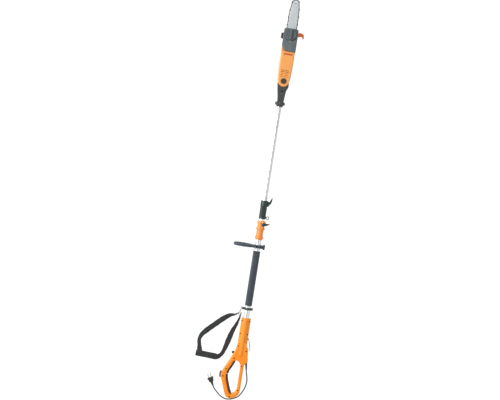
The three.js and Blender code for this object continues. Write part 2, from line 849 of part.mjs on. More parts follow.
// ---- loop handle with its bracket and clamping knob ----
const bracketR = OUTER_R + 5;
const cheekX = bracketR + 5.3; // face that the loop's ends are screwed to
function loopBracket() {
  const clampBand = rod("y", bracketR, LOOP_Y - 8, LOOP_Y + 8, [0, 0], 24);
  const cheeks = block([-cheekX, LOOP_Y - 7, -34], [-8, LOOP_Y + 7, 34]);
  const boss = rod("x", 9, 10, bracketR + 6, [LOOP_Y, 0], 20);
  return cut(
    join(clampBand, cheeks, boss),
    rod("y", OUTER_R + GAP, LOOP_Y - 20, LOOP_Y + 20, [0, 0], 24),
    rod("x", 3 + GAP, 5, 60, [LOOP_Y, 0], 16),
  );
}
function loopHandle() {
  const rise = AXIS_Z - LOOP_TUBE_R - 1;
  const reach = LOOP_REACH - LOOP_TUBE_R;
  const upper = [
    [-cheekX - GAP - LOOP_TUBE_R, LOOP_Y, 26],
    [-cheekX - 12, LOOP_Y, rise - 9],
    [-cheekX - 32, LOOP_Y, rise],
    [27 - reach, LOOP_Y, rise - 1],
    [8 - reach, LOOP_Y, rise - 13],
    [-reach, LOOP_Y, 16],
  ];
  const lower = upper.map(([x, y, z]) => [x, y, -z]).reverse();
  return swept([...upper, ...lower], roundSection(LOOP_TUBE_R, 10), 28);
}
place(onAxis, "loop_bracket", loopBracket(), BLACK);
place(onAxis, "loop_handle", loopHandle(), BLACK);
place(
  onAxis,
  "loop_knob",
  join(
    rod("x", 14, bracketR + 6 + GAP, bracketR + 16, [LOOP_Y, 0], 20),
    rod("x", 3, OUTER_R + GAP, bracketR + 8, [LOOP_Y, 0], 16),
  ),
  BLACK,
);

// ---- foam grip ----
place(
  onAxis,
  "foam_grip",
  ring("y", OUTER_R + FOAM_WALL, OUTER_R + GAP, FOAM_FRONT_Y - FOAM_LENGTH, FOAM_FRONT_Y, [0, 0], 24),
  FOAM,
);

// ---- strap clamp, snap hook and shoulder strap ----
const bandR = OUTER_R + 3.5;
const bandHalf = 6;
const earX = bandR + 3.3; // the bolt that closes the band
const eyeletX = bandR + 11.8; // the hole that the snap hook goes through
place(
  onAxis,
  "strap_clamp",
  cut(
    join(
      rod("y", bandR, STRAP_CLAMP_Y - bandHalf, STRAP_CLAMP_Y + bandHalf, [0, 0], 24),
      block([10, STRAP_CLAMP_Y - bandHalf, -7], [earX + 4, STRAP_CLAMP_Y + bandHalf, 7]),
      block([-eyeletX - 5, STRAP_CLAMP_Y - bandHalf, -2], [-10, STRAP_CLAMP_Y + bandHalf, 2]),
    ),
    rod("y", OUTER_R + GAP, STRAP_CLAMP_Y - 20, STRAP_CLAMP_Y + 20, [0, 0], 24),
    block([OUTER_R - 3, STRAP_CLAMP_Y - 20, -1], [earX + 9, STRAP_CLAMP_Y + 20, 1]),
    rod("z", 2 + GAP, -20, 20, [earX, STRAP_CLAMP_Y], 12),
    rod("z", 3, -20, 20, [-eyeletX, STRAP_CLAMP_Y], 12),
  ),
  BLACK,
);
place(
  onAxis,
  "strap_clamp_bolt",
  join(
    rod("z", 2, -9, 9, [earX, STRAP_CLAMP_Y], 12),
    rod("z", 3.8, 7 + GAP, 11, [earX, STRAP_CLAMP_Y], 6),
  ),
  STEEL,
);
place(
  onAxis,
  "snap_hook",
  swept(
    [
      [-eyeletX, STRAP_CLAMP_Y, 5],
      [-eyeletX - 2, STRAP_CLAMP_Y - 10, 4],
      [-eyeletX - 5, STRAP_CLAMP_Y - 22, -6],
      [-eyeletX - 8, STRAP_CLAMP_Y - 22, -12],
      [-eyeletX - 5, STRAP_CLAMP_Y - 10, -8],
      [-eyeletX, STRAP_CLAMP_Y - 1, -5],
    ],
    roundSection(1.6, 6),
    24,
    true,
  ),
  STEEL,
);

// Webbing is a flat band: its middle line, and the direction across it at each point.
function webbing(line, across, steps = 24) {
  const path = new THREE.CatmullRomCurve3(line.map((p) => new THREE.Vector3(...p)));
  const cross = new THREE.CatmullRomCurve3(across.map((p) => new THREE.Vector3(...p)));
  const positions = [];
  for (let i = 0; i <= steps; i++) {
    const middle = path.getPoint(i / steps);
    const along = path.getTangent(i / steps);
    const side = cross.getPoint(i / steps);
    side.addScaledVector(along, -side.dot(along)).setLength(STRAP_WIDTH / 2);
    const up = new THREE.Vector3().crossVectors(side, along).setLength(STRAP_THICK / 2);
    const lowest = middle.z - Math.abs(side.z) - Math.abs(up.z);
    middle.z += Math.max(0, 0.1 - lowest); // the band lies on the surface, never in it
    [
      [1, 1],
      [-1, 1],
      [-1, -1],
      [1, -1],
    ].forEach(([a, b]) => {
      positions.push(middle.clone().addScaledVector(side, a).addScaledVector(up, b));
    });
  }
  const index = [0, 1, 2, 0, 2, 3];
  for (let i = 0; i < steps; i++)
    for (let k = 0; k < 4; k++) {
      const a = 4 * i + k;
      const b = 4 * i + ((k + 1) % 4);
      index.push(a, a + 4, b, b, a + 4, b + 4);
    }
  const last = 4 * steps;
  index.push(last, last + 2, last + 1, last, last + 3, last + 2);
  const band = new THREE.BufferGeometry().setFromPoints(positions).setIndex(index);
  const made = solid(band);
  if (made.volume() > 0) return made;
  for (let i = 0; i < index.length; i += 3)
    [index[i + 1], index[i + 2]] = [index[i + 2], index[i + 1]];
  return solid(band.setIndex(index));
}

const strap = new THREE.Group(); // y = 0 at the strap clamp, z = 0 at the surface
strap.position.y = STRAP_CLAMP_Y;
saw.add(strap);
const strapZ = STRAP_THICK / 2 + 0.1;
const upperRun = [
  [-44, -33, AXIS_Z - 14],
  [-58, -41, AXIS_Z - 36],
  [-84, -52, 5],
  [-117, -77, strapZ],
  [-154, -112, strapZ],
  [-187, -144, strapZ],
  [-209, -170, strapZ],
  [-218, -196, strapZ],
  [-214, -222, strapZ],
  [-209, -246, strapZ],
];
const upperAcross = [
  [3, 6, 11],
  [5, 9, 7],
  [6, 12, 2],
  [9, 10, 0],
  [9, 10, 0],
  [9, 10, 0],
  [12, 6, 0],
  [13, 1, 0],
  [13, -1, 0],
  [13, -2, 0],
];
place(strap, "strap_upper", webbing(upperRun, upperAcross), WEBBING);

const lowerRun = [
  [-34, -30, AXIS_Z - 20],
  [-35, -60, AXIS_Z - 40],
  [-45, -94, 5],
  [-59, -130, strapZ],
  [-72, -178, strapZ],
  [-84, -224, strapZ],
  [-95, -252, strapZ],
  [-108, -266, strapZ],
];
const lowerAcross = [
  [4, 2, 11],
  [8, 2, 8],
  [11, 3, 2],
  [13, 3, 0],
  [13, 3, 0],
  [12, 5, 0],
  [9, 9, 0],
  [6, 12, 0],
];
place(strap, "strap_lower", webbing(lowerRun, lowerAcross), WEBBING);

const padTurn = new THREE.Group(); // the shoulder pad lies a little askew
padTurn.position.set(-168, -268, 0);
padTurn.rotation.z = -0.05;
strap.add(padTurn);
place(padTurn, "shoulder_pad", raised(rectangle(-58, -16, 50, 16, 8), 0.1, 7, 2), WEBBING);

const sliderTurn = new THREE.Group(); // buckle that sets the strap's length
sliderTurn.position.set(-186, -144, strapZ + STRAP_THICK / 2 + GAP);
sliderTurn.rotation.z = -0.72;
strap.add(sliderTurn);
place(
  sliderTurn,
  "strap_slider",
  cut(
    raised(rectangle(-12, -17, 12, 17, 3), 0, 4, 0.8),
    block([-9, -14, -1], [-2, 14, 6]),
    block([2, -14, -1], [9, 14, 6]),
  ),
  BLACK,
);

// ---- rear handle: two shells round the tube, with the hand opening ----
const handle = new THREE.Group(); // y = 0 at the mouth of the handle's sleeve
handle.position.y = HANDLE_FRONT_Y;
onAxis.add(handle);
const handleOutline = [
  [-24, -132],
  [-27, -159],
  [-38, -187],
  [-50, -217],
  [-62, -242],
  [-75, -267],
  [-81, -282],
  [-83, -295],
  [-81, -310],
  [-68, -342],
  [-57, -372],
  [-48, -394],
  [-38, -405],
  [-20, -408],
  [0, -400],
  [15, -390],
  [23, -373],
  [24, -352],
  [24, -232],
  [38, -220],
  [40, -210],
  [36, -192],
  [33, -152],
  [24, -146],
  [24, -132],
];
// The hand side of the opening, and the line behind it that the trigger and soft grip sit against.
const handLine = [
  [-20, -222],
  [-30, -247],
  [-43, -272],
  [-48, -292],
  [-45, -312],
  [-35, -342],
  [-25, -367],
  [-14, -384],
];
const seatLine = [
  [-29, -219],
  [-39, -243],
  [-52, -269],
  [-57, -292],
  [-54, -314],
  [-44, -345],
  [-34, -371],
  [-22, -388],
];
const openingRight = [
  [-14, -384],
  [-2, -377],
  [5, -367],
  [7, -347],
  [7, -237],
  [0, -225],
  [-12, -215],
];
const triggerPivot = [-31, -211];
const triggerEndY = -288;
const lockY = -179;
const lockR = 6;
const handleWall = 4;
const glandStart = new THREE.Vector3(31, -210, -9);
const glandEnd = new THREE.Vector3(40, -262, -29);
const glandTurn = new THREE.Quaternion().setFromUnitVectors(
  new THREE.Vector3(0, 1, 0),
  glandEnd.clone().sub(glandStart).normalize(),
);

const handleShape = new THREE.Shape(vectors(handleOutline));
handleShape.holes.push(new THREE.Path(vectors([...seatLine, ...openingRight])));

function handleSolid() {
  const sleeve = turned(
    [
      [SLEEVE_R, -162],
      [SLEEVE_R, -4],
      [SLEEVE_R - 3, 0],
    ],
    32,
  );
  const ridge = rod("y", 13, -198, -7, [0, 12.5], 24);
  const hollow = HANDLE_HALF - handleWall;
  return cut(
    join(raised(handleShape, -HANDLE_HALF, HANDLE_HALF, 5), sleeve, ridge),
    raised(handleShape, -hollow, hollow, 0.5, handleWall),
    rod("y", OUTER_R + GAP, -TUBE_IN_HANDLE - 2, 5, [0, 0], 24),
    rod("y", 8, -152, -TUBE_IN_HANDLE, [0, 0], 20),
    raised(
      [
        [triggerPivot[0] - 14, triggerPivot[1] + 8],
        [triggerPivot[0] - 42, triggerEndY + 10],
        [triggerPivot[0] - 42, triggerEndY - 2],
        [-45, triggerEndY - 2],
        [triggerPivot[0] + 11, triggerPivot[1] - 6],
        [triggerPivot[0] + 8, triggerPivot[1] + 8],
      ],
      -TRIGGER_HALF - GAP,
      TRIGGER_HALF + GAP,
    ),
    rod("x", lockR + GAP, -60, -20, [lockY, 0], 20),
    rod("z", 2 + GAP, -HANDLE_HALF + 6, HANDLE_HALF - 6, triggerPivot, 12),
    solid(
      new THREE.CylinderGeometry(4.4 + GAP, 4.4 + GAP, 60, 16)
        .applyQuaternion(glandTurn)
        .translate(...glandStart),
    ),
  );
}
const wholeHandle = handleSolid();
place(
  handle,
  "handle_shell_upper",
  wholeHandle.intersect(block([-120, -432, GAP / 2], [60, 5, 60])),
  ORANGE,
);
place(
  handle,
  "handle_shell_lower",
  wholeHandle.intersect(block([-120, -432, -60], [60, 5, -GAP / 2])),
  ORANGE,
);

// ---- trigger, its pin and switch, and the lock-off button ----
const shrink = ([x, y]) => [x + GAP + 0.2, y];
place(
  handle,
  "trigger",
  cut(
    raised(
      [
        ...arc(...triggerPivot, 5, 20, 180, 6),
        ...seatLine.slice(0, 3).map(shrink),
        [-56.2, triggerEndY + 0.5],
        [-47, triggerEndY + 0.5],
        [-43, -272],
        [-30, -247],
        [-20, -223],
      ],
      -TRIGGER_HALF,
      TRIGGER_HALF,
      1.5,
    ),
    rod("z", 2 + GAP, -30, 30, triggerPivot, 12),
  ),
  BLACK,
);
place(
  handle,
  "trigger_pin",
  rod("z", 2, -HANDLE_HALF + 6 + GAP, HANDLE_HALF - 6 - GAP, triggerPivot, 12),
  STEEL,
);
place(
  handle,
  "power_switch",
  block([-12, -194, -10], [14, -166, 10]),
  BLACK,
);
place(
  handle,
  "lock_off_button",
  join(
    rod("x", lockR, -45, -24, [lockY, 0], 20),
    rod("x", lockR - 1, -46, -44, [lockY, 0], 20),
  ),
  BLACK,
);
place(
  handle,
  "soft_grip",
  raised(
    [
      [-48, triggerEndY - 4],
      [-56.5, triggerEndY - 4],
      ...seatLine.slice(4, 7).map(shrink),
      [-23.5, -384],
      [-17, -381],
      ...handLine.slice(4, 7).reverse(),
    ],
    -13,
    13,
    1.5,
  ),
  RUBBER,
);
place(
  handle,
  "elbow_pad",
  raised(
    [
      [-81.6, -280],
      [-88, -283],
      [-91, -290],
      [-91, -300],
      [-88, -308],
      [-82, -312],
      [-83.6, -295],
    ],
    -14,
    14,
  ),
  RUBBER,
);
place(
  handle,
  "cord_hook",
  join(
    swept(
      [
        [SLEEVE_R + 1.8, -104, 0],
        [SLEEVE_R + 6, -110, 0],
        [SLEEVE_R + 10, -124, 0],
        [SLEEVE_R + 14, -140, 0],
        [SLEEVE_R + 16.5, -152, 0],
        [SLEEVE_R + 16, -162, 0],
      ],
      roundSection(2.2, 8),
      16,
    ),
    block([SLEEVE_R + GAP, -108, -4], [SLEEVE_R + 3.5, -98, 4]),
  ),
  ORANGE,
);

// ---- strain relief, mains lead and plug ----
const lead = new THREE.Group(); // y = 0 at the mouth of the handle's sleeve, z = 0 at the surface
lead.position.y = HANDLE_FRONT_Y;
saw.add(lead);
const leadZ = CORD_R + 0.2; // the lead lies on the surface
const cordRoute = [
  [glandEnd.x, glandEnd.y, AXIS_Z + glandEnd.z],
  [41, -267.5, AXIS_Z - 31.1],
  [43, -277, AXIS_Z - 37.5],
  [45.5, -287, AXIS_Z - 45.5],
  [48.5, -299, AXIS_Z - 52.5],
  [51.5, -314, leadZ],
  [52, -333, leadZ],
  [48.5, -353, leadZ],
  [41.5, -373, leadZ],
  [31, -393, leadZ],
  [18, -409, leadZ],
  [1, -419, leadZ],
  [-15, -425, leadZ],
  [-34, -428, leadZ],
  [-52, -425, leadZ],
  [-70, -416, leadZ],
  [-85, -404, leadZ],
  [-98, -391, 4.5],
  [-104.5, -384, 8.2],
  [-109.2, -377.7, 11.4],
  [-112.5, -371.5, 12],
];
const glandLength = glandEnd.distanceTo(glandStart) - GAP;
const gland = turned(
  [
    [4.4, 0],
    [4.4, 19],
    [5.6, 19.5],
    [5.6, 23],
    [3.8, glandLength],
  ],
  16,
);
const glandGroup = new THREE.Group();
glandGroup.position.copy(glandStart);
glandGroup.quaternion.copy(glandTurn);
handle.add(glandGroup);
place(glandGroup, "strain_relief", gland, RUBBER);
place(lead, "mains_cord", swept(cordRoute, roundSection(CORD_R, 8), 40), RUBBER);

const plugTurn = new THREE.Group(); // the plug lies on its side, prongs away from the lead
plugTurn.position.set(-112.5, -371.5, 12);
plugTurn.rotation.z = 0.4836;
lead.add(plugTurn);
place(
  plugTurn,
  "plug_body",
  join(
    turned(
      [
        [4.2, 1.2],
        [6.5, 20],
        [9, 24],
        [10, 30],
        [10, 46],
      ],
      20,
    ),
    block([-12.5, 26, -8.5], [12.5, 41, 8.5]),
    block([-15, 39, -11.8], [15, 46, 11.8]),
  ),
  RUBBER,
);
for (const [name, side] of [
  ["plug_pin_left", -1],
  ["plug_pin_right", 1],
])
  place(plugTurn, name, rod("y", 2.3, 46 + GAP, 67, [7 * side, 0], 12), STEEL);

export default saw;
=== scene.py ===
"""Telescoping pole saw: the visible pieces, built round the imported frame. Metres."""

import math

import bmesh
import bpy
from mathutils import Matrix, Vector


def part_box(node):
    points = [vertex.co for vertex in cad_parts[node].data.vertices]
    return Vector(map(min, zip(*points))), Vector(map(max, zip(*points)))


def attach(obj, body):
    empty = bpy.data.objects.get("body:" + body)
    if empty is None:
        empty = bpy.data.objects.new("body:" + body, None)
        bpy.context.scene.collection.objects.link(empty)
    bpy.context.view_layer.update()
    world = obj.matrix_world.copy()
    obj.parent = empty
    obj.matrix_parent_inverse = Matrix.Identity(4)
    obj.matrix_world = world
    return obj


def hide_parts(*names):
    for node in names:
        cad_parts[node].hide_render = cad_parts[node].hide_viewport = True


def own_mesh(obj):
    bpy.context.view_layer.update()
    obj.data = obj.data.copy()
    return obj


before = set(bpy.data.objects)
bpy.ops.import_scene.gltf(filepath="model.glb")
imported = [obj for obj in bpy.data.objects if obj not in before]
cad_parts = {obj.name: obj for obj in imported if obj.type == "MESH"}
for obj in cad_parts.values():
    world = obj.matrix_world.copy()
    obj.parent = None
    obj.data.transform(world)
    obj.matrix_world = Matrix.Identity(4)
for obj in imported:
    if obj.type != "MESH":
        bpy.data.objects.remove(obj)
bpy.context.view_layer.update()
MM = 0.001
tube_low, tube_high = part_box("inner_tube")
AXIS_Z = (tube_low.z + tube_high.z) / 2
AXIS = AXIS_Z / MM

# ---------------------------------------------------------------------------
# Camera, light and floor. The saw lies on a pale floor and is seen from
# straight above, with the pole leaning a little to the right.
# ---------------------------------------------------------------------------
POLE_LEAN = math.radians(8.9)
VIEW_HEIGHT = 4.5
VIEW_WIDTH = 2.5
view_centre = Vector((-0.0735, -0.683, AXIS_Z))


def in_scene(name, data):
    """A new object that is linked into the scene."""
    made = bpy.data.objects.new(name, data)
    bpy.context.scene.collection.objects.link(made)
    return made


camera_data = bpy.data.cameras.new("camera")
camera_data.sensor_width = 36
camera_data.lens = 36 * VIEW_HEIGHT / VIEW_WIDTH
camera = in_scene("camera", camera_data)
camera.location = view_centre + Vector((0, 0, VIEW_HEIGHT))
camera.rotation_euler = (0, 0, POLE_LEAN)
bpy.context.scene.camera = camera


def soft_light(name, place, target, power, size):
    """A round area light that faces a target."""
    lamp = bpy.data.lights.new(name, "AREA")
    lamp.energy = power
    lamp.shape = "DISK"
    lamp.size = size
    holder = in_scene(name, lamp)
    holder.location = place
    holder.rotation_euler = (Vector(target) - Vector(place)).to_track_quat("-Z", "Y").to_euler()


soft_light("key_light", (-3.0, -0.2, 2.4), (0, -0.7, 0), 128, 1.8)
soft_light("fill_light", (2.6, -1.6, 3.2), (0, -0.7, 0), 14, 2.6)
soft_light("end_light", (0.4, 2.6, 2.4), (0, -0.4, 0), 14, 1.8)

world = bpy.data.worlds.new("studio")
world.use_nodes = True
world.node_tree.nodes["Background"].inputs["Color"].default_value = (1, 1, 1, 1)
world.node_tree.nodes["Background"].inputs["Strength"].default_value = 0.52
bpy.context.scene.world = world
bpy.context.scene.view_settings.view_transform = "Standard"


def mesh_object(name, vertices, faces):
    """A mesh from points in millimetres."""
    mesh = bpy.data.meshes.new(name)
    mesh.from_pydata([tuple(x * MM for x in v) for v in vertices], [], [tuple(f) for f in faces])
    mesh.update()
    return in_scene(name, mesh)


FLOOR_HALF = 9000
floor_corners = [(-1, -1), (1, -1), (1, 1), (-1, 1)]
studio_floor = mesh_object(
    "studio_floor", [(x * FLOOR_HALF, y * FLOOR_HALF, -0.5) for x, y in floor_corners], [(0, 1, 2, 3)]
)
floor_paint = bpy.data.materials.new("studio_paper")
floor_paint.use_nodes = True
floor_shader = floor_paint.node_tree.nodes["Principled BSDF"]
floor_shader.inputs["Base Color"].default_value = (0.12, 0.12, 0.12, 1)
floor_shader.inputs["Roughness"].default_value = 0.9
floor_shader.inputs["Emission Color"].default_value = (1, 1, 1, 1)
floor_shader.inputs["Emission Strength"].default_value = 1.0
studio_floor.data.materials.append(floor_paint)

# ---------------------------------------------------------------------------
# Mains lead. A short two-core rubber-sheathed lead, moulded at one end into a
# ribbed strain relief in the handle and at the other into a two-pin plug.
# ---------------------------------------------------------------------------


def shader_group(name, inputs, outputs):
    """An empty shader node group with the named sockets: {name: (type, value)}."""
    tree = bpy.data.node_groups.new(name, "ShaderNodeTree")
    for label, (kind, value) in inputs.items():
        socket = tree.interface.new_socket(label, in_out="INPUT", socket_type=kind)
        socket.default_value = value
    for label, kind in outputs.items():
        tree.interface.new_socket(label, in_out="OUTPUT", socket_type=kind)
    return tree, tree.nodes.new("NodeGroupInput"), tree.nodes.new("NodeGroupOutput")


FLOAT, COLOUR = "NodeSocketFloat", "NodeSocketColor"


def noise(tree, scale, detail=3.0, stretch=None):
    """Noise on Object coordinates, its pattern stretched where that is asked."""
    place = tree.nodes.new("ShaderNodeTexCoord")
    texture = tree.nodes.new("ShaderNodeTexNoise")
    texture.inputs["Scale"].default_value = scale
    texture.inputs["Detail"].default_value = detail
    source = place.outputs["Object"]
    if stretch:
        mapping = tree.nodes.new("ShaderNodeMapping")
        mapping.inputs["Scale"].default_value = stretch
        tree.links.new(source, mapping.inputs["Vector"])
        source = mapping.outputs["Vector"]
    tree.links.new(source, texture.inputs["Vector"])
    return texture


def ranged(tree, source, from_low, from_high, to_low, to_high):
    """A value moved from one range to another, whose ends are numbers or sockets."""
    node = tree.nodes.new("ShaderNodeMapRange")
    for label, value in zip(("From Min", "From Max"), (from_low, from_high)):
        node.inputs[label].default_value = value
    for label, value in zip(("To Min", "To Max"), (to_low, to_high)):
        if isinstance(value, (int, float)):
            node.inputs[label].default_value = value
        else:
            tree.links.new(value, node.inputs[label])
    tree.links.new(source, node.inputs["Value"])
    return node.outputs["Result"]


def mixed(tree, factor, first, second):
    """Two colours mixed; each of the three is a value or a socket."""
    node = tree.nodes.new("ShaderNodeMix")
    node.data_type = "RGBA"
    for socket, value in (
        (node.inputs["Factor"], factor), (node.inputs[6], first), (node.inputs[7], second)
    ):
        if isinstance(value, (int, float, tuple)):
            socket.default_value = value
        else:
            tree.links.new(value, socket)
    return node.outputs[2]


def maths(tree, operation, first, second=0.0):
    """One sum on two values or sockets."""
    node = tree.nodes.new("ShaderNodeMath")
    node.operation = operation
    for socket, value in zip(node.inputs, (first, second)):
        if isinstance(value, (int, float)):
            socket.default_value = value
        else:
            tree.links.new(value, socket)
    return node.outputs["Value"]


def moulded_surface():
    """Moulded plastic or rubber: fine mould grain, slow tone drift, faint scuffs and handling marks."""
    tree, given, result = shader_group(
        "moulded surface",
        {
            "Colour": (COLOUR, (0.5, 0.5, 0.5, 1)),
            "Scuffed colour": (COLOUR, (0.6, 0.6, 0.6, 1)),
            "Grain per metre": (FLOAT, 1500.0),
            "Scuffs": (FLOAT, 0.3),
            "Smoothest": (FLOAT, 0.4),
            "Roughest": (FLOAT, 0.6),
        },
        {"Colour": COLOUR, "Roughness": FLOAT, "Height": FLOAT},
    )
    grain = noise(tree, 1500, 2)
    tree.links.new(given.outputs["Grain per metre"], grain.inputs["Scale"])
    drift = noise(tree, 14, 3)
    streak = noise(tree, 60, 4, (1, 0.12, 1))
    tone = ranged(tree, drift.outputs["Fac"], 0.3, 0.7, 0.0, 0.35)
    deep = mixed(tree, 0.18, given.outputs["Colour"], (0, 0, 0, 1))
    toned = mixed(tree, tone, given.outputs["Colour"], deep)
    speck = ranged(tree, grain.outputs["Fac"], 0.35, 0.65, 0.0, 0.12)
    speckled = mixed(tree, speck, toned, given.outputs["Scuffed colour"])
    scuff = ranged(tree, streak.outputs["Fac"], 0.6, 0.78, 0.0, given.outputs["Scuffs"])
    coloured = mixed(tree, scuff, speckled, given.outputs["Scuffed colour"])
    tree.links.new(coloured, result.inputs["Colour"])
    rough = ranged(
        tree, drift.outputs["Fac"], 0.3, 0.7, given.outputs["Smoothest"], given.outputs["Roughest"]
    )
    tree.links.new(rough, result.inputs["Roughness"])
    tree.links.new(grain.outputs["Fac"], result.inputs["Height"])
    return tree


MOULDED = moulded_surface()


def moulded(name, colour, scuffed, grain=1500, scuffs=0.25, rough=(0.38, 0.55), relief=0.00006, coat=0.0):
    """A moulded plastic or rubber finish."""
    material = bpy.data.materials.new(name)
    material.use_nodes = True
    tree = material.node_tree
    shader = tree.nodes["Principled BSDF"]
    surface = tree.nodes.new("ShaderNodeGroup")
    surface.node_tree = MOULDED
    surface.inputs["Colour"].default_value = (*colour, 1)
    surface.inputs["Scuffed colour"].default_value = (*scuffed, 1)
    surface.inputs["Grain per metre"].default_value = grain
    surface.inputs["Scuffs"].default_value = scuffs
    surface.inputs["Smoothest"].default_value = rough[0]
    surface.inputs["Roughest"].default_value = rough[1]
    bump = tree.nodes.new("ShaderNodeBump")
    bump.inputs["Distance"].default_value = relief
    bump.inputs["Strength"].default_value = 0.6
    tree.links.new(surface.outputs["Colour"], shader.inputs["Base Color"])
    tree.links.new(surface.outputs["Roughness"], shader.inputs["Roughness"])
    tree.links.new(surface.outputs["Height"], bump.inputs["Height"])
    tree.links.new(bump.outputs["Normal"], shader.inputs["Normal"])
    shader.inputs["Coat Weight"].default_value = coat
    shader.inputs["Coat Roughness"].default_value = 0.25
    return material


lead_rubber = moulded("lead_rubber", (0.028, 0.03, 0.033), (0.09, 0.09, 0.095), 900, 0.3, (0.5, 0.7))


def settle(piece, material, body, slot, *stands_for, crease=32):
    """Gives a finished piece its material and its place on a body."""
    mesh = piece.data
    mesh.materials.clear()
    mesh.materials.append(material)
    mesh.shade_smooth()
    mesh.set_sharp_from_angle(angle=math.radians(crease))
    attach(piece, body)
    if stands_for:
        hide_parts(*stands_for)
    return piece


def catmull(points, per_span=6, closed=False):
    """Points on a centripetal Catmull-Rom curve through the given points."""
    knots = [Vector(p) for p in points]
    if closed:
        knots = [knots[-1], *knots, knots[0], knots[1]]
    else:
        knots = [2 * knots[0] - knots[1], *knots, 2 * knots[-1] - knots[-2]]
    line = []
    for a, b, c, d in zip(knots, knots[1:], knots[2:], knots[3:]):
        t1 = max((b - a).length ** 0.5, 1e-6)
        t2 = t1 + max((c - b).length ** 0.5, 1e-6)
        t3 = t2 + max((d - c).length ** 0.5, 1e-6)
        for i in range(per_span):
            t = t1 + (t2 - t1) * i / per_span
            ab = a + (b - a) * (t / t1)
            bc = b + (c - b) * ((t - t1) / (t2 - t1))
            cd = c + (d - c) * ((t - t2) / (t3 - t2))
            abc = ab + (bc - ab) * (t / t2)
            bcd = bc + (cd - bc) * ((t - t1) / (t3 - t1))
            line.append(abc + (bcd - abc) * ((t - t1) / (t2 - t1)))
    if not closed:
        line.append(knots[-2].copy())
    return line


def frames_along(line, closed=False):
    """(point, along, side, up) at each point, turning as little as it can."""
    count = len(line)
    tangents = []
    for i in range(count):
        before = line[i - 1] if i or closed else line[0]
        after = line[(i + 1) % count] if i < count - 1 or closed else line[-1]
        tangents.append((after - before).normalized())
    side = tangents[0].orthogonal().normalized()
    if abs(tangents[0].z) < 0.9:
        side = tangents[0].cross(Vector((0, 0, 1))).normalized()
    made = []
    for point, along in zip(line, tangents):
        side = (side - along * side.dot(along)).normalized()
        made.append((point, along, side, side.cross(along)))
    return made


def tube(name, line, radius, sides=16, closed=False):
    """A round bar along a line, in millimetres; radius is a number, or one for each point."""
    radii = [radius] * len(line) if isinstance(radius, (int, float)) else radius
    vertices, faces = [], []
    for (point, _, side, up), r in zip(frames_along(line, closed), radii):
        for k in range(sides):
            angle = 2 * math.pi * k / sides
            vertices.append(point + side * (r * math.cos(angle)) + up * (r * math.sin(angle)))
    rings = len(line)
    for i in range(rings if closed else rings - 1):
        j = (i + 1) % rings
        for k in range(sides):
            m = (k + 1) % sides
            faces.append((i * sides + k, i * sides + m, j * sides + m, j * sides + k))
    if not closed:
        faces.append([k for k in range(sides)][::-1])
        faces.append([(rings - 1) * sides + k for k in range(sides)])
    made = mesh_object(name, vertices, faces)
    outward(made)
    return made


def outward(piece):
    """Merges doubled points and turns every face outwards."""
    shape = bmesh.new()
    shape.from_mesh(piece.data)
    bmesh.ops.remove_doubles(shape, verts=shape.verts, dist=1e-6)
    bmesh.ops.recalc_face_normals(shape, faces=shape.faces)
    if shape.calc_volume(signed=True) < 0:
        bmesh.ops.reverse_faces(shape, faces=shape.faces)
    shape.to_mesh(piece.data)
    shape.free()
    piece.data.update()


POLE_CENTRE = (0, 58)


def turned(name, profile, centre=POLE_CENTRE, axis="y", sides=48, flutes=0, depth=0.0, fluted=None):
    """A piece turned about an axis line; the profile is (radius, place along) pairs, in millimetres.
    It is closed on itself unless it starts on the axis. Flutes are grooves round one stretch."""
    vertices, faces, rings = [], [], []
    for radius, along in profile:
        ring = []
        count = 1 if radius < 1e-6 else sides
        for k in range(count):
            angle = 2 * math.pi * k / sides
            r = radius
            if flutes and fluted[0] <= along <= fluted[1]:
                r -= depth * (0.5 + 0.5 * math.cos(flutes * angle)) ** 2
            u, v = r * math.cos(angle), r * math.sin(angle)
            place = {
                "y": (centre[0] + u, along, centre[1] + v),
                "z": (centre[0] + u, centre[1] + v, along),
                "x": (along, centre[0] + u, centre[1] + v),
            }[axis]
            ring.append(len(vertices))
            vertices.append(place)
        rings.append(ring)
    closed = rings if profile[0][0] < 1e-6 else rings + [rings[0]]
    for a, b in zip(closed, closed[1:]):
        for k in range(sides):
            m = (k + 1) % sides
            face = [a[k % len(a)], a[m % len(a)], b[m % len(b)], b[k % len(b)]]
            face = list(dict.fromkeys(face))
            if len(face) > 2:
                faces.append(face)
    made = mesh_object(name, vertices, faces)
    outward(made)
    return made


def rod(name, radius, start, end, centre=POLE_CENTRE, axis="y", sides=48):
    """A plain cylinder from start to end along an axis line, in millimetres."""
    return turned(name, [(0, start), (radius, start), (radius, end), (0, end)], centre, axis, sides)


def softened(points, radius, steps=3, closed=False):
    """A line of 2-D points with its corners rounded; a radius for all, or one for each."""
    count = len(points)
    line = []
    for i, point in enumerate(points):
        here = Vector(point)
        r = radius if isinstance(radius, (int, float)) else radius[i]
        if (not closed and i in (0, count - 1)) or r <= 0:
            line.append(tuple(here))
            continue
        before, after = Vector(points[i - 1]), Vector(points[(i + 1) % count])
        reach = min(r, (before - here).length * 0.45, (after - here).length * 0.45)
        start = here + (before - here).normalized() * reach
        end = here + (after - here).normalized() * reach
        for k in range(steps + 1):
            t = k / steps
            line.append(tuple(start * (1 - t) ** 2 + here * (2 * t * (1 - t)) + end * t * t))
    return line


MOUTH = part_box("handle_shell_upper")[1].y / MM


def lead_point(x, y, z):
    """A point of the route, with y counted from the mouth of the handle."""
    return Vector((x, MOUTH + y, z))


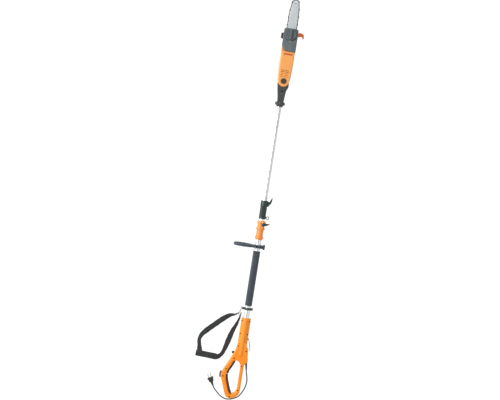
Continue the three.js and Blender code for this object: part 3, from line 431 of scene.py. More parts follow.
CORD_R = 3.0
LEAD_Z = CORD_R + 0.2
lead_route = [
    lead_point(40, -262, 29),
    lead_point(41, -267.5, 26.9),
    lead_point(43, -277, 20.5),
    lead_point(45.5, -287, 12.5),
    lead_point(48.5, -299, 5.5),
    lead_point(51.5, -314, LEAD_Z),
    lead_point(52, -333, LEAD_Z),
    lead_point(48.5, -353, LEAD_Z),
    lead_point(41.5, -373, LEAD_Z),
    lead_point(31, -393, LEAD_Z),
    lead_point(18, -409, LEAD_Z),
    lead_point(1, -419, LEAD_Z),
    lead_point(-15, -425, LEAD_Z),
    lead_point(-34, -428, LEAD_Z),
    lead_point(-52, -425, LEAD_Z),
    lead_point(-70, -416, LEAD_Z),
    lead_point(-85, -404, LEAD_Z),
    lead_point(-98, -391, 4.5),
    lead_point(-104.5, -384, 8.2),
    lead_point(-109.2, -377.7, 11.4),
    lead_point(-112.5, -371.5, 12),
]
lead_line = catmull(lead_route, 6)
mains_lead = tube("mains_lead", lead_line, CORD_R, 20)
settle(mains_lead, lead_rubber, "rear_pole", "rubber", "mains_cord")

# The strain relief is one soft moulding: a plain shank in the housing, a collar, then ribs that
# get smaller towards the lead.
gland_start = Vector((31, MOUTH - 210, 49))
gland_way = (lead_route[0] - gland_start).normalized()
gland_length = (lead_route[0] - gland_start).length - 0.3
gland_profile = [(0, 0), (4.3, 0), (4.3, 18), (5.6, 19), (5.6, 22.5), (4.9, 23.2)]
RELIEF_RIBS = 7
for rib in range(RELIEF_RIBS):
    start = 24.5 + rib * 4.1
    size = 4.9 - rib * 0.16
    gland_profile += [(3.9, start), (3.9, start + 0.9), (size, start + 1.2), (size, start + 3.1)]
gland_profile += [(3.8, gland_length - 0.4), (3.5, gland_length), (0, gland_length)]
strain_relief = turned("strain_relief_sleeve", gland_profile, (0, 0), sides=32)
gland_turn = Vector((0, 1, 0)).rotation_difference(gland_way).to_matrix().to_4x4()
strain_relief.data.transform(Matrix.Translation(gland_start * MM) @ gland_turn)
settle(strain_relief, lead_rubber, "rear_pole", "rubber", "strain_relief")


def outline_solid(name, loops, bottom, top, rounding, steps=3):
    """A flat outline, with any holes after it, raised from bottom to top with rounded edges."""
    areas = [sum(a[0] * b[1] - b[0] * a[1] for a, b in zip(loop, loop[1:] + loop[:1])) for loop in loops]
    loops = [
        loop if (area > 0) == (i == 0) else loop[::-1] for i, (loop, area) in enumerate(zip(loops, areas))
    ]
    flat = bpy.data.curves.new(name, "CURVE")
    flat.dimensions = "2D"
    flat.fill_mode = "BOTH"
    flat.extrude = ((top - bottom) / 2 - rounding) * MM
    flat.bevel_depth = rounding * MM
    flat.bevel_resolution = steps
    flat.offset = -rounding * MM
    for loop in loops:
        spline = flat.splines.new("POLY")
        spline.points.add(len(loop) - 1)
        for knot, place in zip(spline.points, loop):
            knot.co = (place[0] * MM, place[1] * MM, 0, 1)
        spline.use_cyclic_u = True
    holder = in_scene(name + "_outline", flat)
    graph = bpy.context.evaluated_depsgraph_get()
    mesh = bpy.data.meshes.new_from_object(holder.evaluated_get(graph))
    mesh.name = name
    bpy.data.objects.remove(holder)
    made = in_scene(name, mesh)
    mesh.transform(Matrix.Translation((0, 0, (top + bottom) / 2 * MM)))
    outward(made)
    return made


def block(name, corner, opposite, rounding=0.0):
    """A block between two corners, in millimetres."""
    outline = [
        (corner[0], corner[1]), (opposite[0], corner[1]),
        (opposite[0], opposite[1]), (corner[0], opposite[1]),
    ]
    if rounding:
        return outline_solid(name, [softened(outline, rounding, 3, True)], corner[2], opposite[2], rounding)
    vertices = [(x, y, z) for z in (corner[2], opposite[2]) for x, y in outline]
    faces = [(3, 2, 1, 0), (4, 5, 6, 7), (0, 1, 5, 4), (1, 2, 6, 5), (2, 3, 7, 6), (3, 0, 4, 7)]
    made = mesh_object(name, vertices, faces)
    outward(made)
    return made


def applied(piece):
    """The piece with its modifiers made into its mesh."""
    graph = bpy.context.evaluated_depsgraph_get()
    mesh = bpy.data.meshes.new_from_object(piece.evaluated_get(graph))
    old = piece.data
    piece.modifiers.clear()
    piece.data = mesh
    bpy.data.meshes.remove(old)
    return piece


def worked(piece, operation, *tools):
    """Cuts the tools out of a piece, joins them to it, or keeps what they share."""
    for tool in tools:
        whole = piece.data.copy()
        for solver in ("MANIFOLD", "EXACT"):
            step = piece.modifiers.new("work", "BOOLEAN")
            step.operation = operation
            step.solver = solver
            step.object = tool
            applied(piece)
            if len(piece.data.polygons) and len(piece.data.vertices) != len(whole.vertices):
                break
            piece.data = whole.copy()
        bpy.data.objects.remove(tool)
    return piece


def fused(piece, voxel, passes):
    """Melts joined shapes into one moulded skin, with small fillets where they meet."""
    remesh = piece.modifiers.new("skin", "REMESH")
    remesh.mode = "VOXEL"
    remesh.voxel_size = voxel * MM
    smooth = piece.modifiers.new("smooth", "SMOOTH")
    smooth.factor = 0.5
    smooth.iterations = passes
    applied(piece)
    return piece


# The plug: a tapered sleeve, a waisted body with grip ribs and a flat face that holds two pins.
PLUG_YAW = 0.4836
PLUG_TURN = Matrix.Translation(lead_route[-1] * MM) @ Matrix.Rotation(PLUG_YAW, 4, "Z")
plug = turned(
    "plug_moulding",
    [
        (0, 1.2), (3.9, 1.2), (4.2, 3), (5, 9), (6.3, 18), (8.2, 23), (9.6, 28), (9.9, 38), (9.9, 45),
        (0, 45)
    ],
    (0, 0), sides=40
)
plug_waist = outline_solid(
    "plug_waist",
    [softened([(-8, 22), (8, 22), (12.4, 28), (12.4, 42), (-12.4, 42), (-12.4, 28)], 3, 3, True)], -8.5,
    8.5, 2.5
)
plug_face = outline_solid(
    "plug_face", [softened([(-15, 39), (15, 39), (15, 46), (-15, 46)], 1.5, 3, True)], -11.7, 11.7, 1.4
)
worked(plug, "UNION", plug_waist, plug_face)
for side in (-1, 1):
    for rib in range(4):
        worked(
            plug, "DIFFERENCE",
            block("notch", (side * 11.6, 29 + rib * 2.4, -6), (side * 14, 30 + rib * 2.4, 6))
        )
plug.data.transform(PLUG_TURN)
settle(plug, lead_rubber, "rear_pole", "rubber", "plug_body")

PIN_LENGTH = 20.7


def metal(name, colour, rough, brushed=(1, 1, 1), grain=400, relief=0.00002, stain=None):
    """A metal with fine tool marks drawn out along one way, and slight stains."""
    material = bpy.data.materials.new(name)
    material.use_nodes = True
    tree = material.node_tree
    shader = tree.nodes["Principled BSDF"]
    marks = noise(tree, grain, 3, brushed)
    cloud = noise(tree, 22, 4)
    dark = tuple(c * 0.72 for c in colour)
    shade = ranged(tree, marks.outputs["Fac"], 0.3, 0.7, 0.0, 0.5)
    base = mixed(tree, shade, (*colour, 1), (*dark, 1))
    spots = ranged(tree, cloud.outputs["Fac"], 0.55, 0.75, 0.0, 0.5)
    base = mixed(tree, spots, base, (*(stain or dark), 1))
    tree.links.new(base, shader.inputs["Base Color"])
    tree.links.new(
        ranged(tree, marks.outputs["Fac"], 0.25, 0.75, rough[0], rough[1]), shader.inputs["Roughness"]
    )
    shader.inputs["Metallic"].default_value = 1.0
    bump = tree.nodes.new("ShaderNodeBump")
    bump.inputs["Distance"].default_value = relief
    bump.inputs["Strength"].default_value = 0.5
    tree.links.new(marks.outputs["Fac"], bump.inputs["Height"])
    tree.links.new(bump.outputs["Normal"], shader.inputs["Normal"])
    return material


plated_pin = metal("nickel_plated_pin", (0.78, 0.77, 0.74), (0.18, 0.32), (1, 0.2, 1))
for side, label in ((-1, "left"), (1, "right")):
    pin = turned(
        "plug_contact_" + label,
        [
            (0, 0), (2.3, 0), (2.3, PIN_LENGTH - 2), (1.9, PIN_LENGTH - 0.6), (1.1, PIN_LENGTH),
            (0, PIN_LENGTH)
        ],
        (0, 0), sides=24
    )
    pin.data.transform(PLUG_TURN @ Matrix.Translation((7 * side * MM, 46.3 * MM, 0)))
    settle(pin, plated_pin, "rear_pole", "steel", "plug_pin_" + label)

# ---------------------------------------------------------------------------
# Pole. Three drawn aluminium tubes that slide in each other, satin anodised,
# with the ends turned square and their edges broken.
# ---------------------------------------------------------------------------
anodised = metal("satin_anodised", (0.9, 0.905, 0.91), (0.3, 0.42), (1, 0.015, 1), 1100, 0.000015)
TUBE_WALL = 1.3


def drawn_tube(name, node, body):
    """A tube the size of its CAD node, with a broken edge at each end."""
    low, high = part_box(node)
    outer = (high.x - low.x) / 2 / MM
    inner = outer - TUBE_WALL
    start, end = low.y / MM, high.y / MM
    profile = [(inner, start), (outer - 0.4, start), (outer, start + 0.5), (outer, end - 0.5),
               (outer - 0.4, end), (inner, end)]
    return settle(turned(name, profile, sides=72), anodised, body, "aluminium", node)


drawn_tube("inner_pole_tube", "inner_tube", "front_pole")
drawn_tube("middle_pole_tube", "middle_tube", "middle_pole")
drawn_tube("outer_pole_tube", "outer_tube", "rear_pole")


def finished(node, material):
    """A CAD node that keeps its own shape and gets a proper finish."""
    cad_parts[node].data.materials.clear()
    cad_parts[node].data.materials.append(material)


# ---------------------------------------------------------------------------
# Upper clamp. A glass-filled black sleeve on the middle tube, slit under its
# lever, with moulded ribs. The lever, its pin and the hanging eye are on it.
# ---------------------------------------------------------------------------
clamp_black = moulded("clamp_black", (0.015, 0.034, 0.029), (0.07, 0.1, 0.09), 1300, 0.2, (0.34, 0.5))
bright_steel = metal("bright_steel", (0.62, 0.63, 0.64), (0.22, 0.36), (1, 1, 0.2), 500)
UPPER_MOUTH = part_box("upper_clamp")[1].y / MM
UPPER_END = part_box("upper_clamp")[0].y / MM
SLEEVE = 17.1
upper_clamp = turned(
    "upper_clamp_sleeve",
    [(14.5, UPPER_END), (15.2, UPPER_END), (16.6, UPPER_END + 1), (SLEEVE, UPPER_END + 3.5),
     (SLEEVE, UPPER_MOUTH - 31), (18.2, UPPER_MOUTH - 29), (18.6, UPPER_MOUTH - 27.5),
     (18.6, UPPER_MOUTH - 3), (18, UPPER_MOUTH - 1), (16.8, UPPER_MOUTH), (12.9, UPPER_MOUTH),
     (12.9, UPPER_MOUTH - 11.8), (14.5, UPPER_MOUTH - 11.8)],
    sides=72,
)
ears = outline_solid(
    "clamp_ears",
    [softened([(14, -28), (22, -28), (27, -22), (27, -8), (23, -3), (14, -3)], 3.5, 4, True)], 49, 67, 1,
)
ears.data.transform(Matrix.Translation((0, UPPER_MOUTH * MM, 0)))
eye_foot = block("eye_foot", (15, UPPER_END + 4, 55), (19.6, UPPER_END + 14, 61), 0.8)
lever_slot = block("lever_slot", (18.6, UPPER_MOUTH - 40, 52.7), (40, UPPER_MOUTH + 5, 63.3))
worked(ears, "DIFFERENCE", lever_slot)
worked(upper_clamp, "UNION", ears, eye_foot)
bore = rod("bore", 14.5, UPPER_END - 2, UPPER_MOUTH - 12)
worked(upper_clamp, "DIFFERENCE", bore)
for turn in range(60, 301, 30):
    groove = block("groove", (16.4, UPPER_END + 12, 57.2), (19, UPPER_MOUTH - 36, 58.8))
    groove.data.transform(
        Matrix.Translation((0, 0, AXIS_Z)) @ Matrix.Rotation(math.radians(turn), 4, "Y")
        @ Matrix.Translation((0, 0, -AXIS_Z))
    )
    worked(upper_clamp, "DIFFERENCE", groove)
settle(upper_clamp, clamp_black, "middle_pole", "black", "upper_clamp")

LEVER_X = 22.1
LEVER_Y = UPPER_MOUTH - 18
upper_lever = outline_solid(
    "upper_clamp_lever",
    [
        softened(
            [
                (-1.6, 2.8), (-2.9, 1.4), (-3.2, -0.4), (-2.2, -2.4), (0.2, -3.2), (1.8, -2.7), (10, 4),
                (15.2, 20), (15.6, 36), (13, 37.4), (4, 19), (-1.2, 8)
            ],
            1.4, 3, True
        )
    ],
    53, 63, 0.9
)
upper_lever.data.transform(Matrix.Translation((LEVER_X * MM, LEVER_Y * MM, 0)))
for rib in range(4):
    worked(
        upper_lever, "DIFFERENCE",
        block(
            "rib_gap", (LEVER_X + 13.9 + 0.3 * rib, LEVER_Y + 22 + 3.4 * rib, 50),
            (LEVER_X + 20, LEVER_Y + 23 + 3.4 * rib, 66)
        )
    )
settle(upper_lever, clamp_black, "upper_lock", "black", "upper_lever")
upper_pin = turned(
    "upper_lever_rivet", [(0, 48.9), (1.1, 48.9), (1.5, 49.4), (1.5, 66.6), (1.1, 67.1), (0, 67.1)],
    (LEVER_X, LEVER_Y), "z", 20
)
settle(upper_pin, bright_steel, "middle_pole", "steel", "upper_lever_pin")

eye_low, eye_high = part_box("hanging_eye")
eye_middle = (eye_low + eye_high) / (2 * MM)
hanging_eye = turned(
    "hanging_ring",
    [(5.1, 56), (5.7, 55.5), (7.9, 55.5), (8.5, 56), (8.5, 60), (7.9, 60.5), (5.7, 60.5), (5.1, 60)],
    (eye_middle.x, eye_middle.y), "z", 48)
settle(hanging_eye, clamp_black, "middle_pole", "black", "hanging_eye")

# ---------------------------------------------------------------------------
# Lower clamp. An orange moulded body on the outer tube with three collars, a
# pair of ears on top and a black wedge lever that folds down over it.
# ---------------------------------------------------------------------------
clamp_orange = moulded(
    "clamp_orange", (0.93, 0.27, 0.03), (0.95, 0.5, 0.25), 1300, 0.18, (0.32, 0.46), coat=0.15
)
LOWER_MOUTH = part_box("lower_clamp")[1].y / MM
LOWER_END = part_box("lower_clamp")[0].y / MM
BODY = 17.7
profile = [(16, LOWER_END), (17, LOWER_END), (BODY, LOWER_END + 1)]
for front in (79, 34, 1):
    high_y, low_y = LOWER_MOUTH - front, LOWER_MOUTH - front - 10
    profile += [(BODY, low_y - 1.6), (19.3, low_y - 0.2), (21.2, low_y), (22, low_y + 1), (22, high_y - 1),
                (21.2, high_y), (19.3, high_y + 0.2), (BODY, high_y + 1.4 if front > 1 else high_y + 0.6)]
profile += [(14.4, LOWER_MOUTH), (14.4, LOWER_MOUTH - 11.8), (16, LOWER_MOUTH - 11.8)]
lower_clamp = turned("lower_clamp_body", profile, sides=72)
lower_ears = outline_solid(
    "lower_ears", [softened([(1, 12), (11, 12), (11, 25.7), (8, 25.7), (1, 22)], 3, 4, True)],
    LOWER_MOUTH - 34, LOWER_MOUTH - 4, 1,
)
# Drawn as X and Z against Y: the outline's up becomes the part's up.
UPRIGHT = Matrix(((1, 0, 0, 0), (0, 0, 1, 0), (0, 1, 0, AXIS_Z), (0, 0, 0, 1)))
lower_ears.data.transform(UPRIGHT)
outward(lower_ears)
PIN_Z = 79.7
lever_gap = block("lever_gap", (-14, LOWER_MOUTH - 28.3, 60), (60, LOWER_MOUTH - 9.7, 118))
worked(lower_ears, "DIFFERENCE", lever_gap)
relief = block("relief", (-14, LOWER_MOUTH - 28.3, 60), (60, LOWER_MOUTH - 9.7, 118))
core = rod("core", BODY + 0.3, LOWER_END, LOWER_MOUTH)
worked(relief, "DIFFERENCE", core)
worked(lower_clamp, "DIFFERENCE", relief)
worked(lower_clamp, "UNION", lower_ears)
bore = rod("bore", 16, LOWER_END - 2, LOWER_MOUTH - 12)
worked(lower_clamp, "DIFFERENCE", bore)
settle(lower_clamp, clamp_orange, "rear_pole", "orange", "lower_clamp")

lower_lever = outline_solid(
    "lower_clamp_lever",
    [
        softened(
            [
                (2.9, 23.2), (3, 20), (5.4, 18.7), (24, 12), (41.8, 0.6), (42.9, 3.8), (26, 20),
                (14, 25.6), (6, 25)
            ],
            1.5, 3, True
        )
    ],
    LOWER_MOUTH - 27.5, LOWER_MOUTH - 10.5, 1
)
lower_lever.data.transform(UPRIGHT)
outward(lower_lever)
core = rod("core", BODY + 0.9, LOWER_MOUTH - 40, LOWER_MOUTH)
worked(lower_lever, "DIFFERENCE", core)
for rib in range(4):
    worked(
        lower_lever, "DIFFERENCE",
        block(
            "rib_gap", (24 + 4 * rib, LOWER_MOUTH - 26, 58 + 20.2 - 3.9 * rib),
            (25 + 4 * rib, LOWER_MOUTH - 12, 90)
        )
    )
wedge = outline_solid(
    "wedge",
    [
        [
            (2, LOWER_MOUTH - 28), (14, LOWER_MOUTH - 27.2), (43.2, LOWER_MOUTH - 14.4),
            (43.2, LOWER_MOUTH - 10), (2, LOWER_MOUTH - 10)
        ]
    ],
    50, 100, 0
)
worked(lower_lever, "INTERSECT", wedge)
settle(lower_lever, clamp_black, "lower_lock", "black", "lower_lever")
lower_pin = turned(
    "lower_lever_rivet",
    [
        (0, LOWER_MOUTH - 33), (1.1, LOWER_MOUTH - 33), (1.5, LOWER_MOUTH - 32.5),
        (1.5, LOWER_MOUTH - 5.5), (1.1, LOWER_MOUTH - 5), (0, LOWER_MOUTH - 5)
    ],
    (6, PIN_Z), "y", 20
)
settle(lower_pin, bright_steel, "rear_pole", "steel", "lower_lever_pin")

# ---------------------------------------------------------------------------
# Guide bar and saw chain. A ground steel bar with a groove round its edge, and
# a chain of rivetted drive links, tie straps and left and right cutters.
# ---------------------------------------------------------------------------
BAR_Z = AXIS + 20
NOSE_Y = 318
SPROCKET_Y = 100
KNOB_Y = 157
BAR_HALF = 21.5
NOSE_R = 15
DRIVE_R = 14


def arc(x, y, radius, first, last, steps=10):
    """Points of an arc, angles in degrees."""
    turns = [math.radians(first + (last - first) * i / steps) for i in range(steps + 1)]
    return [(x + radius * math.cos(t), y + radius * math.sin(t)) for t in turns]


def chain_line(offset, steps=16):
    """The line round the bar and the sprocket at a distance out from the bar's edge."""
    half = BAR_HALF + offset
    return [
        *arc(0, NOSE_Y, NOSE_R + offset, 15, 165, steps), (-half + 2.5, NOSE_Y - 28),
        (-half, NOSE_Y - 60), (-half, KNOB_Y), *arc(0, SPROCKET_Y, DRIVE_R + offset, 170, 370, steps),
        (half, KNOB_Y), (half, NOSE_Y - 60), (half - 2.5, NOSE_Y - 28)
    ]


bar_tail = softened(
    [(-BAR_HALF, 140), (-BAR_HALF, 126), (-17, 122.3), (17, 122.3), (BAR_HALF, 126), (BAR_HALF, 140)], 4,
    4
)
bar_blade = sorted([p for p in softened(chain_line(0, 24), 6, 3, True) if p[1] > 145],
                   key=lambda p: -math.atan2(p[0], p[1] - 145))
guide_bar = outline_solid("ground_guide_bar", [bar_tail + bar_blade], BAR_Z - 2, BAR_Z + 2, 0.5, 2)

holes = [
    rod("hole", 3.3, 74, 82, (0, NOSE_Y), "z", 32),
    outline_solid(
        "stud_slot", [softened([(-4.3, 143), (4.3, 143), (4.3, 171), (-4.3, 171)], 4.2, 5, True)], 74, 82,
        0
    ),
    rod("oil_hole", 1.5, 74, 82, (-12.5, 150), "z", 24),
    rod("oil_hole", 1.5, 74, 82, (12.5, 150), "z", 24)
]
wheel_slot = rod("wheel_slot", 12.8, 76.9, 79.1, (0, NOSE_Y), "z", 48)
nose_mouth = block("nose_mouth", (-12.5, NOSE_Y + 3, 76.9), (12.5, NOSE_Y + 30, 79.1))
worked(wheel_slot, "UNION", nose_mouth)
groove = outline_solid(
    "edge_groove", [chain_line(3), chain_line(-3.6)[::-1]], BAR_Z - 0.75, BAR_Z + 0.75, 0
)
worked(guide_bar, "DIFFERENCE", *holes, wheel_slot, groove)
etch = outline_solid(
    "etch",
    [
        softened([(-15, 200), (15, 200), (15, 262), (-15, 262)], 2, 3, True),
        softened([(-14, 201), (14, 201), (14, 261), (-14, 261)][::-1], 2, 3, True)
    ],
    79.75, 81, 0
)
worked(guide_bar, "DIFFERENCE", etch)
bar_steel = metal("ground_bar_steel", (0.84, 0.885, 0.9), (0.34, 0.5), (1, 0.03, 1), 1500, 0.00001,
                  (0.52, 0.56, 0.58))
settle(guide_bar, bar_steel, "head", "steel", "guide_bar")

chain_steel = metal(
    "chain_steel", (0.2, 0.2, 0.21), (0.26, 0.5), (1, 1, 1), 900, 0.00002, (0.09, 0.08, 0.075)
)
bright_rivet = metal("rivet_steel", (0.42, 0.42, 0.43), (0.3, 0.45), (1, 1, 1), 600)
nose_rivets = None
for spot in ((0, NOSE_Y), (-9, NOSE_Y - 17), (9, NOSE_Y - 17), (0, NOSE_Y - 22)):
    size = 3 if spot == (0, NOSE_Y) else 1.6
    rivet = turned(
        "rivet",
        [(0, 75.85), (size - 0.4, 75.85), (size, 76.05), (size, 79.95), (size - 0.4, 80.15), (0, 80.25)],
        spot, "z", 24
    )
    nose_rivets = worked(nose_rivets, "UNION", rivet) if nose_rivets else rivet
nose_rivets.name = "nose_rivets"
settle(nose_rivets, bright_rivet, "head", "dark_steel", "nose_rivet")


def geometry_group(name, inputs):
    """An empty geometry node group with the named inputs and one output."""
    tree = bpy.data.node_groups.new(name, "GeometryNodeTree")
    for label, kind in inputs.items():
        tree.interface.new_socket(label, in_out="INPUT", socket_type=kind)
    tree.interface.new_socket("Pieces", in_out="OUTPUT", socket_type="NodeSocketGeometry")
    return tree, tree.nodes.new("NodeGroupInput"), tree.nodes.new("NodeGroupOutput")


def repeat_on_a_line():
    """Copies of a piece at even steps along a line, each turned to run along it."""
    tree, given, result = geometry_group(
        "repeat along a line",
        {"Line": "NodeSocketGeometry", "Piece": "NodeSocketObject", "Count": "NodeSocketInt",
         "Start": "NodeSocketFloat", "Material": "NodeSocketMaterial"},
    )

    def link(source, out, target, into):
        tree.links.new(source.outputs[out], target.inputs[into])

    curve = tree.nodes.new("GeometryNodeMeshToCurve")
    points = tree.nodes.new("GeometryNodePoints")
    index = tree.nodes.new("GeometryNodeInputIndex")
    shifted_index = tree.nodes.new("ShaderNodeMath")
    share = tree.nodes.new("ShaderNodeMath")
    share.operation = "DIVIDE"
    sample = tree.nodes.new("GeometryNodeSampleCurve")
    sample.mode = "FACTOR"
    sample.use_all_curves = True
    along = tree.nodes.new("FunctionNodeAlignRotationToVector")
    along.axis = "X"
    upright = tree.nodes.new("FunctionNodeAlignRotationToVector")
    upright.axis = "Z"
    upright.pivot_axis = "X"
    upright.inputs["Vector"].default_value = (0, 0, 1)
    piece = tree.nodes.new("GeometryNodeObjectInfo")
    place = tree.nodes.new("GeometryNodeInstanceOnPoints")
    real = tree.nodes.new("GeometryNodeRealizeInstances")
    paint = tree.nodes.new("GeometryNodeSetMaterial")
    link(given, "Line", curve, "Mesh")
    link(given, "Count", points, "Count")
    link(index, "Index", shifted_index, 0)
    link(given, "Start", shifted_index, 1)
    link(shifted_index, "Value", share, 0)
    link(given, "Count", share, 1)
    link(curve, "Curve", sample, "Curves")
    link(share, "Value", sample, "Factor")
    link(sample, "Position", points, "Position")
    link(points, 0, place, "Points")
    link(sample, "Tangent", along, "Vector")
    link(along, "Rotation", upright, "Rotation")
    link(upright, "Rotation", place, "Rotation")
    link(given, "Piece", piece, "Object")
    link(piece, "Geometry", place, "Instance")
    link(place, "Instances", real, "Geometry")
    link(real, "Geometry", paint, "Geometry")
    link(given, "Material", paint, "Material")
    link(paint, "Geometry", result, "Pieces")
    return tree


def grouped(piece, tree, **values):
    """Runs a geometry group on a piece and keeps the result as its mesh."""
    step = piece.modifiers.new("repeat", "NODES")
    step.node_group = tree
    for item in tree.interface.items_tree:
        if item.item_type == "SOCKET" and item.in_out == "INPUT" and item.name in values:
            step[item.identifier] = values[item.name]
    applied(piece)
    return piece


ON_A_LINE = repeat_on_a_line()


def repeated(name, line, closed, template, count, start, material):
    """One piece made of copies of a template along a line, in millimetres."""
    piece = mesh_object(name, line, [])
    shape = bmesh.new()
    shape.from_mesh(piece.data)
    shape.verts.ensure_lookup_table()
    for i in range(len(line) if closed else len(line) - 1):
        shape.edges.new((shape.verts[i], shape.verts[(i + 1) % len(line)]))
    shape.to_mesh(piece.data)
    shape.free()
    grouped(piece, ON_A_LINE, Piece=template, Count=count, Start=start, Material=material)
    bpy.data.objects.remove(template)
    return piece


def joined(name, *parts):
    """Several meshes made into one, each kept as it is."""
    shape = bmesh.new()
    for part in parts:
        shape.from_mesh(part.data)
    mesh = bpy.data.meshes.new(name)
    shape.to_mesh(mesh)
    shape.free()
    for part in parts:
        bpy.data.objects.remove(part)
    return in_scene(name, mesh)


run_line = [(x, y, BAR_Z) for x, y in softened(chain_line(2.6, 24), 8, 4, True)]
run_length = sum(math.dist(a, b) for a, b in zip(run_line, run_line[1:] + run_line[:1]))
LINK_PAIR_LENGTH = 18.6
LINK_PAIRS = 4 * round(run_length / LINK_PAIR_LENGTH / 4)
HALF_PITCH = run_length / LINK_PAIRS / 4
# Round the run the line's left is inwards, so a link's outside is at -Y.
strap_outline = softened(
    [
        (-HALF_PITCH - 2.6, 1.2), (-HALF_PITCH, 2.6), (0, 1.7), (HALF_PITCH, 2.6),
        (HALF_PITCH + 2.6, 1.2), (HALF_PITCH + 2.6, -1.6), (HALF_PITCH, -2.8), (0, -2),
        (-HALF_PITCH, -2.8), (-HALF_PITCH - 2.6, -1.6)
    ][::-1],
    1.6, 3, True
)
tie_strap = joined(
    "tie_strap", *[outline_solid("strap", [strap_outline], z, z + 1.2, 0.25, 1) for z in (-2.3, 1.1)]
)
cutter_outline = softened(
    [(-HALF_PITCH - 2.6, 2.2), (HALF_PITCH + 2.6, 2.2), (HALF_PITCH + 3, -3.4), (HALF_PITCH + 0.6, -4),
     (HALF_PITCH - 1.6, -0.6), (0.6, -0.6), (0.2, -4.2), (-HALF_PITCH - 2.2, -3.6)][::-1], 0.7, 2, True)
cutters = []
for side in (-1, 1):
    wall = outline_solid("wall", [cutter_outline], 1.1, 2.4, 0.2, 1)
    tooth_top = block("tooth_top", (-HALF_PITCH - 2.0, -4.25, -0.6), (0.9, -3.2, 3.1), 0.3)
    plain = outline_solid("plain", [strap_outline], -2.3, -1.1, 0.25, 1)
    cutter = joined("cutter", wall, tooth_top, plain)
    if side < 0:
        cutter.data.transform(Matrix.Scale(-1, 4, (0, 0, 1)))
        outward(cutter)
    cutters.append(cutter)
drive_outline = softened(
    [
        (-HALF_PITCH - 2.3, -1.8), (0, -2.6), (HALF_PITCH + 2.3, -1.8), (HALF_PITCH + 2.3, 2), (1.6, 5.2),
        (-1.2, 5.2), (-HALF_PITCH - 2.3, 2)
    ],
    1.3, 2, True
)
drive_link = outline_solid("drive_link", [drive_outline], -0.6, 0.6, 0.15, 1)
rivet = turned(
    "rivet", [(0, -2.75), (1.1, -2.75), (1.5, -2.45), (1.5, 2.45), (1.1, 2.75), (0, 2.75)], (0, 0), "z",
    12
)
saw_chain = joined(
    "saw_chain_links",
    repeated("straps", run_line, True, tie_strap, LINK_PAIRS, 0.0, chain_steel),
    repeated("left_cutters", run_line, True, cutters[0], LINK_PAIRS // 4, 0.125, chain_steel),
    repeated("right_cutters", run_line, True, cutters[1], LINK_PAIRS // 4, 0.625, chain_steel),
    repeated("drive_links", run_line, True, drive_link, LINK_PAIRS, 0.5, chain_steel),
)
settle(saw_chain, chain_steel, "head", "dark_steel", "saw_chain", crease=28)
chain_rivets = repeated("chain_rivets", run_line, True, rivet, 2 * LINK_PAIRS, 0.5, bright_rivet)
settle(chain_rivets, bright_rivet, "head", "dark_steel")

# ---------------------------------------------------------------------------
# Motor housing. Two orange shells screwed together from below on the pole's
# axis, with vents over the motor and a blank inlay under the side cover.
# ---------------------------------------------------------------------------
head_orange = moulded(
    "head_orange", (0.84, 0.335, 0.07), (0.97, 0.62, 0.38), 1100, 0.15, (0.34, 0.48), coat=0.12
)
inlay_red = moulded("inlay_red", (0.52, 0.1, 0.02), (0.7, 0.25, 0.1), 1100, 0.1, (0.4, 0.5))
PIVOT_Y = -74


def head_plan(front):
    """The housing's outline from above, up to its front."""
    return softened(
        [
            (34.5, front), (-34.5, front), (-34.5, 0), (-32, -54), *arc(0, PIVOT_Y, 28, 190, 350, 24),
            (32, -54), (34.5, 0)
        ],
        [9, 9, 20, 4, *[0] * 25, 4, 20], 6, True
    )


def side_solid(name, outline, x0, x1, rounding):
    """An outline in Y and Z stretched across X, with rounded edges."""
    made = outline_solid(name, [outline], x0, x1, rounding)
    made.data.transform(Matrix(((0, 0, 1, 0), (1, 0, 0, 0), (0, 1, 0, 0), (0, 0, 0, 1))))
    return made


TONGUE_SLOT = (46 - 0.4, 70 + 0.4)


def tongue_room():
    """The gap that the neck's tongue swings in."""
    room = rod("room", 28.4, TONGUE_SLOT[0], TONGUE_SLOT[1], (0, PIVOT_Y), "z", 64)
    return worked(
        room, "UNION", block("back", (-60, PIVOT_Y - 60, TONGUE_SLOT[0]), (60, PIVOT_Y, TONGUE_SLOT[1]))
    )


def vent(x0, x1, y, z0, z1, width=2.4):
    """A tool that cuts one round-ended vent slot across the lid."""
    return outline_solid("vent", [softened([(x0, y - width / 2), (x1, y - width / 2), (x1, y + width / 2),
                                            (x0, y + width / 2)], width * 0.45, 4, True)], z0, z1, 0)


head_lower = outline_solid("housing_belly", [head_plan(182)], 0, 84, 6, 4)
belly_side = side_solid(
    "belly_side", softened([(-120, 0.2), (60, 0.2), (110, 24), (190, 34), (190, 90), (-120, 90)],
                           [0, 16, 16, 0, 0, 0], 6, True), -60, 60, 0)
worked(head_lower, "INTERSECT", belly_side)
fused(head_lower, 1.4, 6)
belly_seam = side_solid(
    "belly_seam", [(-120, -5), (190, -5), (190, 72), (74, 72), (74, 57.9), (-120, 57.9)], -60, 60, 0
)
worked(head_lower, "INTERSECT", belly_seam)
for side in (-1, 1):
    for row in range(7):
        y = -34 + 9.5 * row
        slot = side_solid(
            "side_vent", softened([(y, 20), (y + 3, 20), (y + 11, 44), (y + 8, 44)], 1.2, 3, True),
            side * 30, side * 40, 0
        )
        worked(head_lower, "DIFFERENCE", slot)
bays = [
    block("motor_bay", (-30.5, -37, 3), (30.5, 71, 80)),
    block("gear_bay", (-31.5, 65, 28), (31.5, 130, 68)),
    block("tank_bay", (-31.5, 129, 38), (-10, 174, 68)),
    rod("filler_hole", 9.3, -60, -24, (156, 52), "x", 48),
    rod("shaft_hole", 6, 60, 98, (0, SPROCKET_Y), "z", 32),
    rod("stud_hole", 4.3, 46, 118, (0, KNOB_Y), "z", 32),
    rod("bolt_hole", 5.3, -5, 90, (0, PIVOT_Y), "z", 32),
    rod("nut_seat", 9.3, -1, 12, (0, PIVOT_Y), "z", 6)
]
